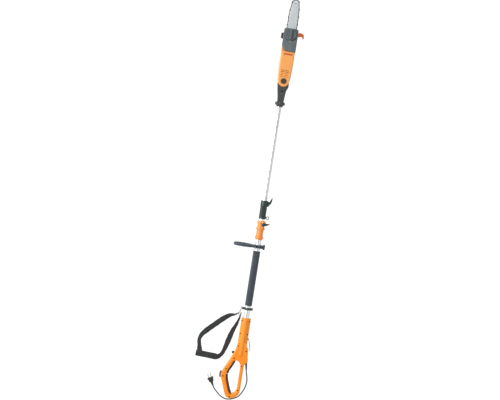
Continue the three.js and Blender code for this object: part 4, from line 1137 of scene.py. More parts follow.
worked(head_lower, "DIFFERENCE", *bays, tongue_room())
HOUSING_SCREWS = [(-22, -40), (22, -40), (-26, 30), (26, 30), (-24, 62), (24, 62)]
for x, y in HOUSING_SCREWS:
    worked(head_lower, "DIFFERENCE", rod("seat", 4.6, -1, 2.6, (x, y), "z", 32))
settle(head_lower, head_orange, "head", "orange", "motor_housing_lower")

head_upper = outline_solid("housing_lid", [head_plan(90)], 30, 90, 7.5, 5)
lid_side = side_solid(
    "lid_side",
    softened([(-120, 40), (90, 40), (90, 90.2), (-20, 90.2), (-120, 87.5)], [0, 0, 0, 60, 0], 6, True),
    -60, 60, 0
)
worked(head_upper, "INTERSECT", lid_side)
fused(head_upper, 1.3, 6)
worked(head_upper, "INTERSECT", block("lid_seam", (-60, -130, 58.2), (60, 73.7, 100)))
for row in range(5):
    y = -52 + 8 * row
    worked(head_upper, "DIFFERENCE", vent(-20, -1.4, y, 84, 95), vent(1.4, 20, y, 84, 95))
inlay_seat = outline_solid(
    "inlay_seat", [softened([(-20, 56.6), (24, 56.6), (24, 65.4), (-20, 65.4)], 2.2, 4, True)], 89, 95, 0
)
cap_seat = rod("cap_seat", 14.3, 85, 97, (0, PIVOT_Y), "z", 64)
lid_bay = block("lid_bay", (-30.5, -34, 40), (30.5, 70.4, 86.2))
bolt_hole = rod("bolt_hole", 5.3, 40, 99, (0, PIVOT_Y), "z", 32)
rim_groove = turned(
    "rim_groove", [(19.6, 89.2), (20.6, 89.2), (20.6, 95), (19.6, 95)], (0, PIVOT_Y), "z", 64
)
worked(head_upper, "DIFFERENCE", inlay_seat, cap_seat, lid_bay, bolt_hole, rim_groove, tongue_room())
settle(head_upper, head_orange, "head", "orange", "motor_housing_upper")
inlay = outline_solid(
    "blank_inlay", [softened([(-19.8, 56.8), (23.8, 56.8), (23.8, 65.2), (-19.8, 65.2)], 2, 4, True)],
    88.9, 89.9, 0.25
)
settle(inlay, inlay_red, "head", "orange")

pivot_cap = turned(
    "tilt_pivot_cap",
    [
        (0, 88.8), (13.4, 88.8), (14, 89.4), (14, 90.7), (13.2, 91.5), (11.6, 91.5), (11, 90.9),
        (5.4, 90.9), (4.8, 91.4), (0, 91.4)
    ],
    (0, PIVOT_Y), "z", 64
)
cap_dark = moulded("cap_dark", (0.05, 0.035, 0.025), (0.15, 0.12, 0.1), 1200, 0.2, (0.4, 0.55))
settle(pivot_cap, cap_dark, "head", "black", "pivot_cap")

# ---------------------------------------------------------------------------
# Side cover and its knob. A slate-grey cover over the sprocket, held on the
# bar stud by a big knob with a grip bar across it, with a painted pointer.
# ---------------------------------------------------------------------------
slate = moulded("slate_plastic", (0.098, 0.12, 0.13), (0.26, 0.29, 0.3), 1400, 0.22, (0.42, 0.58))
knob_slate = moulded("knob_slate", (0.085, 0.108, 0.125), (0.22, 0.25, 0.27), 1400, 0.22, (0.36, 0.52))
cover_outline = softened(
    [(-26.5, 89), (-14.5, 75), (36, 75), (36, 190), (-36.5, 190), (-36.5, 101)], [8, 5, 5, 11, 11, 8], 6,
    True
)
side_cover = outline_solid("sprocket_cover", [cover_outline], 62, 96, 4.5, 4)
above_pad = block("above_pad", (-60, 40, 72.3), (60, 220, 120))
worked(side_cover, "INTERSECT", above_pad)
cover_room = outline_solid(
    "cover_room",
    [softened([(-32.5, 101), (-12, 79), (31.7, 79), (31.7, 186), (-32.5, 186)], 5, 4, True)], 50, 93, 0
)
seat = rod("seat", 10, 79.9, 94, (0, KNOB_Y), "z", 32)
worked(cover_room, "DIFFERENCE", seat)
mouth = block("mouth", (-30, KNOB_Y, 60), (30, 220, 84.5))
knob_ring = turned("knob_ring", [(29.2, 95.2), (30.6, 95.2), (30.6, 99), (29.2, 99)], (0, KNOB_Y), "z", 96)
stud_hole = rod("stud_hole", 4.3, 60, 120, (0, KNOB_Y), "z", 32)
worked(side_cover, "DIFFERENCE", cover_room, mouth, knob_ring, stud_hole)
for row in range(3):
    line = [(31 - 6 * row, 80 + 4.5 * row), (31 - 6 * row, 121 - 3 * row)]
    rib = outline_solid(
        "rib",
        [
            softened(
                [
                    (line[0][0] - 1, line[0][1]), (line[0][0] + 1, line[0][1]),
                    (line[1][0] + 1, line[1][1]), (line[1][0] - 1, line[1][1])
                ],
                0.9, 4, True
            )
        ],
        95.3, 99, 0
    )
    worked(side_cover, "DIFFERENCE", rib)
settle(side_cover, slate, "head", "slate", "side_cover")
pointer = outline_solid("knob_pointer", [softened([(-3.6, 120.8), (3.6, 120.8), (0, 126.4)], 0.8, 3, True)],
                        95.6, 96.6, 0.25)
pointer_paint = moulded("pointer_paint", (0.85, 0.42, 0.06), (0.9, 0.6, 0.3), 900, 0.1)
settle(pointer, pointer_paint, "head", "orange")

cover_knob = turned(
    "cover_clamp_knob",
    [
        (0, 96.3), (26, 96.3), (27.6, 97.2), (28, 98.6), (28, 104), (27.2, 105.6), (25.4, 106.3),
        (22.6, 106.3), (21.8, 105.3), (8, 105.3), (0, 105.3)
    ],
    (0, KNOB_Y), "z", 96, flutes=16, depth=1.5, fluted=(96.5, 105.9)
)
grip = outline_solid(
    "grip",
    [softened([(-5, KNOB_Y - 25), (5, KNOB_Y - 25), (5, KNOB_Y + 25), (-5, KNOB_Y + 25)], 4.6, 6, True)],
    100, 115.3, 2.6, 4
)
worked(cover_knob, "UNION", grip)
for side in (-1, 1):
    for row in range(5):
        worked(cover_knob, "DIFFERENCE", block("grip_gap", (side * 4.2, KNOB_Y - 12 + 5.4 * row, 106.6),
                                               (side * 8, KNOB_Y - 10.6 + 5.4 * row, 113)))
worked(
    cover_knob, "DIFFERENCE", rod("stud_room", 4.3, 90, 102.6, (0, KNOB_Y), "z", 32),
    outline_solid(
        "notch", [softened([(-3.4, KNOB_Y - 31), (3.4, KNOB_Y - 31), (0, KNOB_Y - 24.6)], 0.6, 2, True)],
        94, 110, 0
    )
)
settle(cover_knob, knob_slate, "bar_knob", "slate", "cover_knob", crease=30)
stud = turned(
    "bar_clamp_stud", [(0, 47), (3.6, 47), (4, 47.4), (4, 101.9), (3.5, 102.3), (0, 102.3)], (0, KNOB_Y),
    "z", 32
)
settle(stud, bright_steel, "head", "steel", "bar_stud")

# ---------------------------------------------------------------------------
# Branch hook and oil cap. The hook is a thick orange claw on the right of the
# housing; the cap is a black screw cap on the left with a ribbed edge.
# ---------------------------------------------------------------------------
hook_orange = moulded(
    "hook_orange", (0.9, 0.2, 0.03), (0.95, 0.45, 0.25), 1200, 0.15, (0.34, 0.46), coat=0.15
)
claw = outline_solid(
    "branch_claw",
    [softened([(34.8, KNOB_Y), (48.5, KNOB_Y + 3), (55.5, KNOB_Y + 5), (59.5, KNOB_Y + 2), (61, KNOB_Y - 5),
               (64, KNOB_Y - 8), (67, KNOB_Y - 5), (67, KNOB_Y + 9), (64, KNOB_Y + 17), (55.5, KNOB_Y + 22),
               (44.5, KNOB_Y + 23), (34.8, KNOB_Y + 20)], [0, 5, 4, 4, 4, 3, 3, 6, 6, 8, 8, 0], 5, True)],
    52, 64, 2.4, 4)
claw_groove = outline_solid("claw_groove", [softened(
    [(38, KNOB_Y + 8), (54, KNOB_Y + 11.6), (61.6, KNOB_Y + 7.6), (63, KNOB_Y), (64.4, KNOB_Y),
     (63.8, KNOB_Y + 9), (56, KNOB_Y + 15.6), (38, KNOB_Y + 15)], 1.6, 4, True)], 63.1, 66, 0)
worked(claw, "DIFFERENCE", claw_groove)
settle(claw, hook_orange, "head", "orange", "branch_hook")

cap_black = moulded("cap_black", (0.03, 0.033, 0.036), (0.12, 0.125, 0.13), 1300, 0.25, (0.42, 0.58))
oil_cap = turned(
    "oil_tank_cap",
    [
        (9.3, -34.8), (15.2, -34.8), (16, -35.4), (16, -38.8), (15.4, -39.6), (14, -39.9), (14, -46.4),
        (13, -47.5), (9, -47.5), (8.4, -46.9), (0.0001, -46.9), (0.0001, -38), (9.3, -38)
    ],
    (156, 52), "x", 96, flutes=20, depth=1.2, fluted=(-46.6, -39.9)
)
cap_bar = block("cap_bar", (-47.5, 147, 50.2), (-45, 165, 53.8), 0.4)
worked(oil_cap, "UNION", cap_bar)
settle(oil_cap, cap_black, "oil_filler", "black", "oil_cap", crease=30)

# ---------------------------------------------------------------------------
# Neck, tilt release and collar. The neck is a black moulding that forks from
# a tongue in the housing down to a socket on the inner tube.
# ---------------------------------------------------------------------------
neck_black = moulded("neck_black", (0.04, 0.044, 0.041), (0.14, 0.145, 0.14), 1300, 0.28, (0.38, 0.55))
NECK_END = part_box("neck")[0].y / MM + 18
neck_plan = softened(
    [
        (-28, -86), (-24.5, -110), (-20, -136), (-16.5, -160), (-16.5, NECK_END), (16.5, NECK_END),
        (17.5, -160), (19, -136), (21, -115), (29, -100), (29, -80), (-28, -80)
    ],
    [3, 14, 16, 10, 1, 1, 10, 12, 8, 4, 2, 2], 6, True
)
neck = outline_solid("tilting_neck", [neck_plan[::-1]], 24, 88, 7, 5)
neck_side = side_solid(
    "neck_side",
    softened(
        [
            (-74, 25.2), (-104, 26.2), (-134, 36), (-160, 41.5), (NECK_END, 41.5), (NECK_END, 74.5),
            (-160, 74.5), (-134, 79), (-104, 86), (-74, 87)
        ],
        [0, 14, 20, 10, 1, 1, 10, 20, 14, 0], 6, True
    ),
    -60, 60, 0
)
worked(neck, "INTERSECT", neck_side)
for z0, z1 in ((70, 120), (-5, 46)):
    worked(neck, "DIFFERENCE", rod("cheek", 28.9, z0, z1, (0, PIVOT_Y), "z", 72))
# On the right the housing's shoulder swings past the neck when the head tilts.
shoulder_room = rod("shoulder_room", 33, -5, 71, (0, PIVOT_Y), "z", 72)
worked(shoulder_room, "INTERSECT", block("right_side", (20.5, -140, -10), (60, 0, 80)))
worked(neck, "DIFFERENCE", shoulder_room)
tongue = turned(
    "tongue", [(0, 46), (26.4, 46), (27, 46.6), (27, 69.4), (26.4, 70), (0, 70)], (0, PIVOT_Y), "z", 72
)
shank = block("shank", (-20, -114, 46), (20, -84, 70), 1)
socket_nose = turned("socket_nose", [(0, NECK_END - 18), (13.1, NECK_END - 18), (13.5, NECK_END - 17.5),
                                     (13.5, NECK_END + 4), (0, NECK_END + 4)], sides=64)
worked(neck, "UNION", tongue, shank, socket_nose)
fused(neck, 0.85, 9)
button_room = block("button_room", (-5.3, -140, 72.5), (5.3, -122, 100))
tube_room = rod("tube_room", 12.8, NECK_END - 20, -130, sides=64)
bolt_room = rod("bolt_room", 5.3, 20, 95, (0, PIVOT_Y), "z", 32)
worked(neck, "DIFFERENCE", button_room, tube_room, bolt_room)
for side in (-1, 1):
    for row in range(3):
        flute = side_solid(
            "flute",
            softened(
                [(-176 + 6 * row, 44), (-173 + 6 * row, 44), (-173 + 6 * row, 72), (-176 + 6 * row, 72)],
                1.2, 3, True
            ),
            side * 15.6, side * 20, 0
        )
        worked(neck, "DIFFERENCE", flute)
scallop = outline_solid(
    "scallop", [softened([(2, -150), (13, -122), (19, -112), (10, -118), (3, -132)], 3, 4, True)], 80.4,
    99, 0
)
worked(neck, "DIFFERENCE", scallop)
settle(neck, neck_black, "front_pole", "black", "neck", crease=38)

release = side_solid(
    "tilt_release_button",
    softened(
        [(-139.7, 72.8), (-128, 72.8), (-128, 77.5), (-134, 77.5), (-136, 84), (-139.7, 84)], 1, 4, True
    ),
    -5, 5, 0.7
)
for row in range(2):
    worked(
        release, "DIFFERENCE", block("line", (-6, -137.4 + 1.5 * row, 83.3), (6, -136.9 + 1.5 * row, 86))
    )
settle(release, slate, "tilt_latch", "slate", "tilt_release")

COLLAR_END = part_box("neck_collar")[0].y / MM
collar = turned(
    "locking_collar",
    [
        (12.8, COLLAR_END), (14, COLLAR_END), (15, COLLAR_END + 1.5), (18.6, COLLAR_END + 8.4),
        (20.4, COLLAR_END + 9.8), (24, COLLAR_END + 11.2), (25.5, COLLAR_END + 13.4),
        (25.5, COLLAR_END + 18.6), (24.6, COLLAR_END + 21.4), (23.4, COLLAR_END + 23.7),
        (13.9, COLLAR_END + 23.7), (13.9, COLLAR_END + 4), (12.8, COLLAR_END + 4)
    ],
    sides=144, flutes=18, depth=1.6, fluted=(COLLAR_END + 10.5, COLLAR_END + 22)
)
settle(collar, neck_black, "collar", "black", "neck_collar", crease=30)

# ---------------------------------------------------------------------------
# Loop handle. A D of blue-black tube with a soft ribbed sleeve, its ends
# screwed to a split bracket on the pole and clamped by a lobed knob.
# ---------------------------------------------------------------------------
loop_black = moulded("loop_black", (0.05, 0.066, 0.09), (0.16, 0.19, 0.23), 1300, 0.2, (0.36, 0.52))
loop_rubber = moulded(
    "loop_rubber", (0.04, 0.054, 0.074), (0.14, 0.16, 0.19), 800, 0.25, (0.6, 0.75), 0.0001
)
LOOP_Y = (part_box("loop_handle")[0].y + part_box("loop_handle")[1].y) / 2 / MM
upper_half = [(-34.2, 26), (-38, 40), (-58, 49), (-85, 48), (-104, 36), (-112, 16)]
loop_points = [
    Vector((x, LOOP_Y, AXIS + z)) for x, z in upper_half + [(x, -z) for x, z in upper_half[::-1]]
]
loop_line = catmull(loop_points, 12)
LOOP_R = 7.9
loop_tube = tube("front_loop_handle", loop_line, LOOP_R, 28)
for side in (-1, 1):
    dome = [
        (LOOP_R * math.sin(math.radians(a)), -34.2 - LOOP_R * math.cos(math.radians(a)))
        for a in range(0, 91, 10)
    ]
    boss = turned(
        "boss", [*dome, (LOOP_R, -27.2), (7.3, -26.6), (0, -26.6)], (LOOP_Y, AXIS + 26 * side), "x", 40
    )
    worked(loop_tube, "UNION", boss)
sleeve_line = loop_line[26:-26]
sleeve_radii = [
    7.4 if i in (0, len(sleeve_line) - 1) else 8.35 if i % 3 else 8.05 for i in range(len(sleeve_line))
]
loop_sleeve = tube("loop_soft_sleeve", catmull(sleeve_line, 1), sleeve_radii, 28)
settle(loop_tube, loop_black, "loop", "black", "loop_handle")
settle(loop_sleeve, loop_rubber, "loop", "rubber", crease=60)

bracket = turned(
    "loop_bracket_band",
    [
        (0, LOOP_Y - 8), (20.1, LOOP_Y - 8), (20.7, LOOP_Y - 7.4), (20.7, LOOP_Y + 7.4),
        (20.1, LOOP_Y + 8), (0, LOOP_Y + 8)
    ],
    sides=64
)
cheek = block("cheek", (-26, LOOP_Y - 7, 24), (-8, LOOP_Y + 7, 92), 1.6)
boss = turned("boss", [(0, 10), (9, 10), (9, 26), (8.4, 26.7), (0, 26.7)], (LOOP_Y, AXIS), "x", 48)
worked(bracket, "UNION", cheek, boss)
split = block("split", (-30, LOOP_Y - 12, 57.2), (-16.1, LOOP_Y + 12, 58.8))
pole_room = rod("pole_room", 16, LOOP_Y - 12, LOOP_Y + 12, sides=64)
screw_room = rod("screw_room", 3.3, 5, 60, (LOOP_Y, AXIS), "x", 24)
worked(bracket, "DIFFERENCE", split, pole_room, screw_room)
settle(bracket, loop_black, "loop", "black", "loop_bracket")

loop_knob = turned(
    "loop_clamp_knob",
    [(0, 27), (12, 27), (14, 28.4), (14, 34), (13, 36), (11, 36.7), (0, 36.7)], (LOOP_Y, AXIS), "x", 96,
    flutes=6, depth=2.6, fluted=(27.2, 36.5))
knob_screw = turned(
    "knob_screw", [(0, 16.1), (2.6, 16.1), (3, 16.5), (3, 28), (0, 28)], (LOOP_Y, AXIS), "x", 24
)
worked(loop_knob, "UNION", knob_screw)
settle(loop_knob, cap_black, "loop_lock", "black", "loop_knob", crease=30)

# ---------------------------------------------------------------------------
# Foam grip. A closed-cell foam sleeve stretched over the outer tube, its ends
# rolled in a little, with fine pores all over.
# ---------------------------------------------------------------------------


def foam_finish():
    """Closed-cell foam: pores as bumps, each pit darkened by painted shade into a darker speck, with a soft
    dusty sheen.
    """
    material = bpy.data.materials.new("closed_cell_foam")
    material.use_nodes = True
    tree = material.node_tree
    shader = tree.nodes["Principled BSDF"]
    place = tree.nodes.new("ShaderNodeTexCoord")
    pores = tree.nodes.new("ShaderNodeTexVoronoi")
    pores.inputs["Scale"].default_value = 900
    tree.links.new(place.outputs["Object"], pores.inputs["Vector"])
    drift = noise(tree, 30, 4)
    # Painted shade: each pore is darkened towards its middle, where the bump makes a pit.
    speck = ranged(tree, pores.outputs["Distance"], 0.0, 0.35, 1.0, 0.0)
    base = mixed(tree, speck, (0.04, 0.053, 0.067, 1), (0.01, 0.013, 0.016, 1))
    worn = ranged(tree, drift.outputs["Fac"], 0.5, 0.75, 0.0, 0.3)
    base = mixed(tree, worn, base, (0.1, 0.12, 0.135, 1))
    tree.links.new(base, shader.inputs["Base Color"])
    shader.inputs["Roughness"].default_value = 0.88
    shader.inputs["Sheen Weight"].default_value = 0.35
    shader.inputs["Sheen Roughness"].default_value = 0.5
    bump = tree.nodes.new("ShaderNodeBump")
    bump.inputs["Distance"].default_value = 0.00022
    bump.inputs["Strength"].default_value = 0.8
    tree.links.new(pores.outputs["Distance"], bump.inputs["Height"])
    tree.links.new(bump.outputs["Normal"], shader.inputs["Normal"])
    return material


FOAM_END, FOAM_FRONT = (corner.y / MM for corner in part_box("foam_grip"))
foam_profile = [(15.9, FOAM_END), (17.0, FOAM_END), (17.7, FOAM_END + 0.5), (18, FOAM_END + 1.4)]
FOAM_RINGS = 90
for i in range(1, FOAM_RINGS):
    y = FOAM_END + 2 + (FOAM_FRONT - FOAM_END - 4) * i / FOAM_RINGS
    foam_profile.append((17.95 + 0.05 * math.sin(i * 0.55) - 0.06 * math.sin(i * 0.21 + 1), y))
foam_profile += [(18, FOAM_FRONT - 1.4), (17.7, FOAM_FRONT - 0.5), (17.0, FOAM_FRONT), (15.9, FOAM_FRONT)]
foam_grip = turned("foam_sleeve", foam_profile, sides=72)
settle(foam_grip, foam_finish(), "rear_pole", "foam", "foam_grip", crease=50)

# ---------------------------------------------------------------------------
# Strap clamp and snap hook. A black nylon band round the tube, closed by a
# bolt on the right, with an eyelet on the left for the wire snap hook.
# ---------------------------------------------------------------------------
BAND_Y = (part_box("strap_clamp")[0].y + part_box("strap_clamp")[1].y) / 2 / MM
band_black = moulded("band_black", (0.05, 0.058, 0.06), (0.15, 0.16, 0.165), 1200, 0.25, (0.4, 0.55))
band = turned(
    "strap_band",
    [
        (0, BAND_Y - 6), (18.4, BAND_Y - 6), (19.2, BAND_Y - 5.2), (19.2, BAND_Y + 5.2),
        (18.4, BAND_Y + 6), (0, BAND_Y + 6)
    ],
    sides=72
)
ear_block = block("ear_block", (10, BAND_Y - 6, 51), (26.5, BAND_Y + 6, 65), 1.2)
eyelet_tab = outline_solid(
    "eyelet_tab",
    [
        softened(
            [(-36, BAND_Y - 6), (-10, BAND_Y - 6), (-10, BAND_Y + 6), (-36, BAND_Y + 6)], [5, 0, 0, 5], 5,
            True
        )
    ],
    56, 60, 0.7
)
worked(band, "UNION", ear_block, eyelet_tab)
worked(
    band, "DIFFERENCE", rod("pole_room", 16, BAND_Y - 20, BAND_Y + 20, sides=64),
    block("split", (12.7, BAND_Y - 20, 57), (40, BAND_Y + 20, 59)),
    rod("bolt_room", 2.3, 30, 90, (22.5, BAND_Y), "z", 24),
    rod("eyelet", 3, 30, 90, (-31, BAND_Y), "z", 32)
)
settle(band, band_black, "rear_pole", "black", "strap_clamp")
band_bolt = turned(
    "strap_band_bolt", [(0, 49), (1.7, 49), (2, 49.4), (2, 66), (0, 66)], (22.5, BAND_Y), "z", 24
)
bolt_head = turned("bolt_head", [(0, 65.3), (3.4, 65.3), (3.8, 65.7), (3.8, 68.5), (3.3, 69), (0, 69)],
                   (22.5, BAND_Y), "z", 6)
worked(band_bolt, "UNION", bolt_head)
settle(band_bolt, bright_steel, "rear_pole", "steel", "strap_clamp_bolt")

hook_path = [(-31, 0, 5), (-33, -10, 4), (-36, -22, -6), (-39, -22, -12), (-36, -10, -8), (-31, -1, -5)]
hook_line = catmull([Vector((x, BAND_Y + y, AXIS + z)) for x, y, z in hook_path], 10, True)
snap_hook = tube("snap_hook_wire", hook_line, 1.6, 16, True)
settle(snap_hook, bright_steel, "rear_pole", "steel", "snap_hook")
ring_line = [Vector((-39 + 8 * math.cos(a), BAND_Y - 29.5 + 8 * math.sin(a), 46 + 2.5 * math.sin(a)))
             for a in [math.tau * k / 48 for k in range(48)]]
strap_ring = tube("strap_ring", ring_line, 1.3, 14, True)
settle(strap_ring, bright_steel, "rear_pole", "steel")

# ---------------------------------------------------------------------------
# Shoulder strap. Black polypropylene webbing in two runs that lie on the
# surface, each with stitched edges and a short tab that joins the pad.
# ---------------------------------------------------------------------------
STRAP_HALF = 13.5
STRAP_THICK = 2.4
strap_low = STRAP_THICK / 2 + 0.1


def woven_finish():
    """Woven webbing: ribs across it and fine twill on the UV map, with painted shade: darker in the grooves
    between the ribs and paler on the ribs.
    """
    material = bpy.data.materials.new("woven_webbing")
    material.use_nodes = True
    tree = material.node_tree
    shader = tree.nodes["Principled BSDF"]
    place = tree.nodes.new("ShaderNodeTexCoord")

    def wave(scale, stretch, kind="BANDS"):
        mapping = tree.nodes.new("ShaderNodeMapping")
        mapping.inputs["Scale"].default_value = stretch
        texture = tree.nodes.new("ShaderNodeTexWave")
        texture.wave_type = kind
        texture.bands_direction = "X"
        texture.inputs["Scale"].default_value = scale
        tree.links.new(place.outputs["UV"], mapping.inputs["Vector"])
        tree.links.new(mapping.outputs["Vector"], texture.inputs["Vector"])
        return texture.outputs["Fac"]

    weft = wave(110, (1, 0, 0))
    twill = wave(120, (0.8, 1, 0))
    cloud = noise(tree, 25, 4)
    weave = maths(tree, "MULTIPLY", weft, twill)
    # Painted shade: the colour follows the weave's relief, dark in its grooves and pale on its ribs.
    base = mixed(tree, ranged(tree, weave, 0, 0.8, 0, 1), (0.01, 0.013, 0.014, 1), (0.038, 0.044, 0.048, 1))
    base = mixed(
        tree, ranged(tree, cloud.outputs["Fac"], 0.5, 0.75, 0, 0.3), base, (0.055, 0.062, 0.066, 1)
    )
    tree.links.new(base, shader.inputs["Base Color"])
    shader.inputs["Roughness"].default_value = 0.8
    shader.inputs["Sheen Weight"].default_value = 0.2
    bump = tree.nodes.new("ShaderNodeBump")
    bump.inputs["Distance"].default_value = 0.0003
    tree.links.new(weave, bump.inputs["Height"])
    tree.links.new(bump.outputs["Normal"], shader.inputs["Normal"])
    return material


webbing = woven_finish()
SECTION = [
    (1, 0.35), (0.94, 0.9), (0.5, 1), (0, 1.04), (-0.5, 1), (-0.94, 0.9), (-1, 0.35), (-1, -0.35),
    (-0.94, -0.9), (-0.5, -1), (0, -0.98), (0.5, -1), (0.94, -0.9), (1, -0.35)
]


def webbing_run(name, line, tilt, gather, *stands_for, per_span=16):
    """A flat band along a line. Tilt is how far it stands on edge at each point, in degrees, and gather how
    wide it is there; its UV runs along it in metres."""
    middles = catmull([Vector((x, BAND_Y + y, z)) for x, y, z in line], per_span)
    shapes = catmull([Vector((math.radians(t), w, 0)) for t, w in zip(tilt, gather)], per_span)
    vertices, faces, tracks = [], [], []
    travelled = 0
    for i, middle in enumerate(middles):
        along = (middles[min(i + 1, len(middles) - 1)] - middles[max(i - 1, 0)]).normalized()
        travelled += (middle - middles[i - 1]).length if i else 0
        flat = along.cross(Vector((0, 0, 1))).normalized()
        over = flat.cross(along)
        side = flat * math.cos(shapes[i].x) + over * math.sin(shapes[i].x)
        up = side.cross(along) * (STRAP_THICK / 2)
        side *= STRAP_HALF * shapes[i].y + 0.3 * math.sin(travelled * 0.19)
        rise = max(0.0, 0.1 - (middle.z - abs(side.z) - abs(up.z) * 1.04))
        base = middle + Vector((0, 0, rise))
        for u, v in SECTION:
            vertices.append(base + side * u + up * v)
            tracks.append((travelled * MM, u * STRAP_HALF * MM))
    count = len(SECTION)
    for i in range(len(middles) - 1):
        for k in range(count):
            m = (k + 1) % count
            faces.append((i * count + k, i * count + m, (i + 1) * count + m, (i + 1) * count + k))
    faces.append(tuple(range(count))[::-1])
    faces.append(tuple((len(middles) - 1) * count + k for k in range(count)))
    band_mesh = mesh_object(name, vertices, faces)
    layer = band_mesh.data.uv_layers.new(name="UVMap")
    for corner in band_mesh.data.loops:
        layer.data[corner.index].uv = tracks[corner.vertex_index]
    outward(band_mesh)
    settle(band_mesh, webbing, "rear_pole", "webbing", *stands_for, crease=50)
    edge_lines = []
    for u in (-0.8, 0.8):
        edge = []
        for i in range(0, len(middles), 2):
            points = vertices[i * count:(i + 1) * count]
            left, right = points[6], points[0]
            middle_top = points[3]
            centre = (left + right) / 2
            edge.append(
                centre + (right - left) / 2 * u
                + (middle_top - centre).normalized() * (STRAP_THICK / 2 + 0.05)
            )
        edge_lines.append(edge)
    return edge_lines, travelled


UPPER_RUN = [
    (-41, -28, 44.5), (-58, -41, 22), (-84, -52, 5), (-117, -77, strap_low), (-154, -112, strap_low),
    (-187, -144, strap_low), (-209, -170, strap_low), (-218, -196, strap_low), (-214, -222, strap_low),
    (-209, -246, strap_low)
]
LOWER_RUN = [(-31, -28, 42), (-35, -60, 18), (-45, -94, 5), (-59, -130, strap_low), (-72, -178, strap_low),
             (-84, -224, strap_low), (-95, -252, strap_low), (-108, -266, strap_low)]
upper_edges, upper_length = webbing_run("webbing_upper", UPPER_RUN, [62, 44, 10, *[0] * 7],
                                       [0.42, 0.5, 0.78, 1, 1, 1, 0.84, 0.7, 0.74, 0.95], "strap_upper")
lower_edges, lower_length = webbing_run("webbing_lower", LOWER_RUN, [66, 44, 10, *[0] * 5],
                                       [0.45, 0.5, 0.64, 0.85, 1, 0.8, 0.72, 0.8], "strap_lower")
# A short tab carries each run on to the pad.
webbing_run("pad_tab_upper", [(-211, -236, 3.7), (-209, -246, 4.6), (-208, -251, 7.5), (-207.5, -256, 8.6),
                              (-207, -264, 8.6)], [0] * 5, [0.86, 0.92, 0.96, 1, 1])
webbing_run(
    "pad_tab_lower",
    [(-102, -260, 3.7), (-109, -266, 4.6), (-117, -269.6, 7.5), (-124, -270.4, 8.6), (-132, -270.8, 8.6)],
    [0] * 5, [0.78, 0.85, 0.96, 1, 1]
)


def one_stitch():
    """One short stitch of sewing thread, lying along X."""
    profile = [(0, -1.3), (0.22, -1.1), (0.28, 0), (0.22, 1.1), (0, 1.3)]
    return turned("stitch", profile, (0, 0), "x", 8)


thread = moulded("strap_thread", (0.1, 0.115, 0.12), (0.2, 0.21, 0.22), 2500, 0.1, (0.6, 0.8))
seams = []
for edges, length in ((upper_edges, upper_length), (lower_edges, lower_length)):
    for edge in edges:
        stitch = one_stitch()
        seams.append(repeated("seam", edge, False, stitch, int(length / 3.8), 0.5, thread))
strap_stitching = joined("strap_stitching", *seams)
settle(strap_stitching, thread, "rear_pole", "webbing", crease=70)

# ---------------------------------------------------------------------------
# Shoulder pad and slider. The pad is a quilted foam sleeve with two sewn
# channels and a bound edge; the slider is a moulded three-bar buckle.
# ---------------------------------------------------------------------------
PAD_YAW = -0.05
PAD_PLACE = Matrix.Translation((-0.168, (BAND_Y - 268) * MM, 0)) @ Matrix.Rotation(PAD_YAW, 4, "Z")
PAD_LEFT, PAD_RIGHT, PAD_HALF, PAD_TOP = -58, 50, 16, 7


def pad_height(u, v):
    """Height of the pad's top, with u and v from -1 to 1 over it."""
    edge = max(0.0, 1 - abs(u) ** 14) * max(0.0, 1 - abs(v) ** 5)
    channel = sum(math.exp(-(((v - at) / 0.07) ** 2)) for at in (-0.4, 0.4))
    tuck = sum(math.exp(-(((u - at) / 0.02) ** 2)) for at in (-0.86, 0.86))
    wrinkle = 0.14 * math.sin(9 * u + 2 * v) * math.sin(5 * v + 1)
    return 2.0 + (PAD_TOP - 2.4) * edge ** 0.5 * (
        1 - 0.45 * min(1, channel) - 0.5 * min(1, tuck)
    ) + wrinkle * edge


COLUMNS, ROWS = 150, 44
pad_points, pad_faces = [], []
for surface in (0, 1):
    for i in range(COLUMNS + 1):
        u = -1 + 2 * i / COLUMNS
        for j in range(ROWS + 1):
            v = -1 + 2 * j / ROWS
            corner = 1 - 0.10 * abs(u) ** 20
            x = (PAD_LEFT + PAD_RIGHT) / 2 + (PAD_RIGHT - PAD_LEFT) / 2 * u * (1 - 0.03 * abs(v) ** 12)
            y = PAD_HALF * v * corner * (1 - 0.035 * math.cos(u * math.pi / 2) ** 2)
            z = pad_height(u, v) if surface else 0.12 + 0.9 * max(abs(u) ** 16, abs(v) ** 6)
            pad_points.append((x, y, z))
stride = ROWS + 1
count = (COLUMNS + 1) * stride
for i in range(COLUMNS):
    for j in range(ROWS):
        a = i * stride + j
        pad_faces.append((a, a + 1, a + stride + 1, a + stride))
        pad_faces.append((count + a, count + a + stride, count + a + stride + 1, count + a + 1))
rim = [i * stride for i in range(COLUMNS)] + [COLUMNS * stride + j for j in range(ROWS)]
rim += [i * stride + ROWS for i in range(COLUMNS, 0, -1)] + [j for j in range(ROWS, 0, -1)]
for a, b in zip(rim, rim[1:] + rim[:1]):
    pad_faces.append((a, b, count + b, count + a))
shoulder_pad = mesh_object("quilted_pad", pad_points, pad_faces)
outward(shoulder_pad)
pad_uv = shoulder_pad.data.uv_layers.new(name="UVMap")
for corner in shoulder_pad.data.loops:
    spot = shoulder_pad.data.vertices[corner.vertex_index].co
    pad_uv.data[corner.index].uv = (spot.x, spot.y)
shoulder_pad.data.transform(PAD_PLACE)
settle(shoulder_pad, webbing, "rear_pole", "webbing", "shoulder_pad", crease=70)
pad_seams = []
for v in (-0.4, 0.4, -0.84, 0.84):
    seam_line = []
    for i in range(61):
        u = -0.92 + 1.84 * i / 60
        y = PAD_HALF * v * (1 - 0.035 * math.cos(u * math.pi / 2) ** 2)
        point = Vector((-4 + 54 * u, y, pad_height(u, v) + 0.1)) * MM
        seam_line.append((PAD_PLACE @ point) / MM)
    stitch = one_stitch()
    pad_seams.append(repeated("seam", seam_line, False, stitch, 26, 0.5, thread))
pad_stitching = joined("pad_stitching", *pad_seams)
settle(pad_stitching, thread, "rear_pole", "webbing", crease=70)

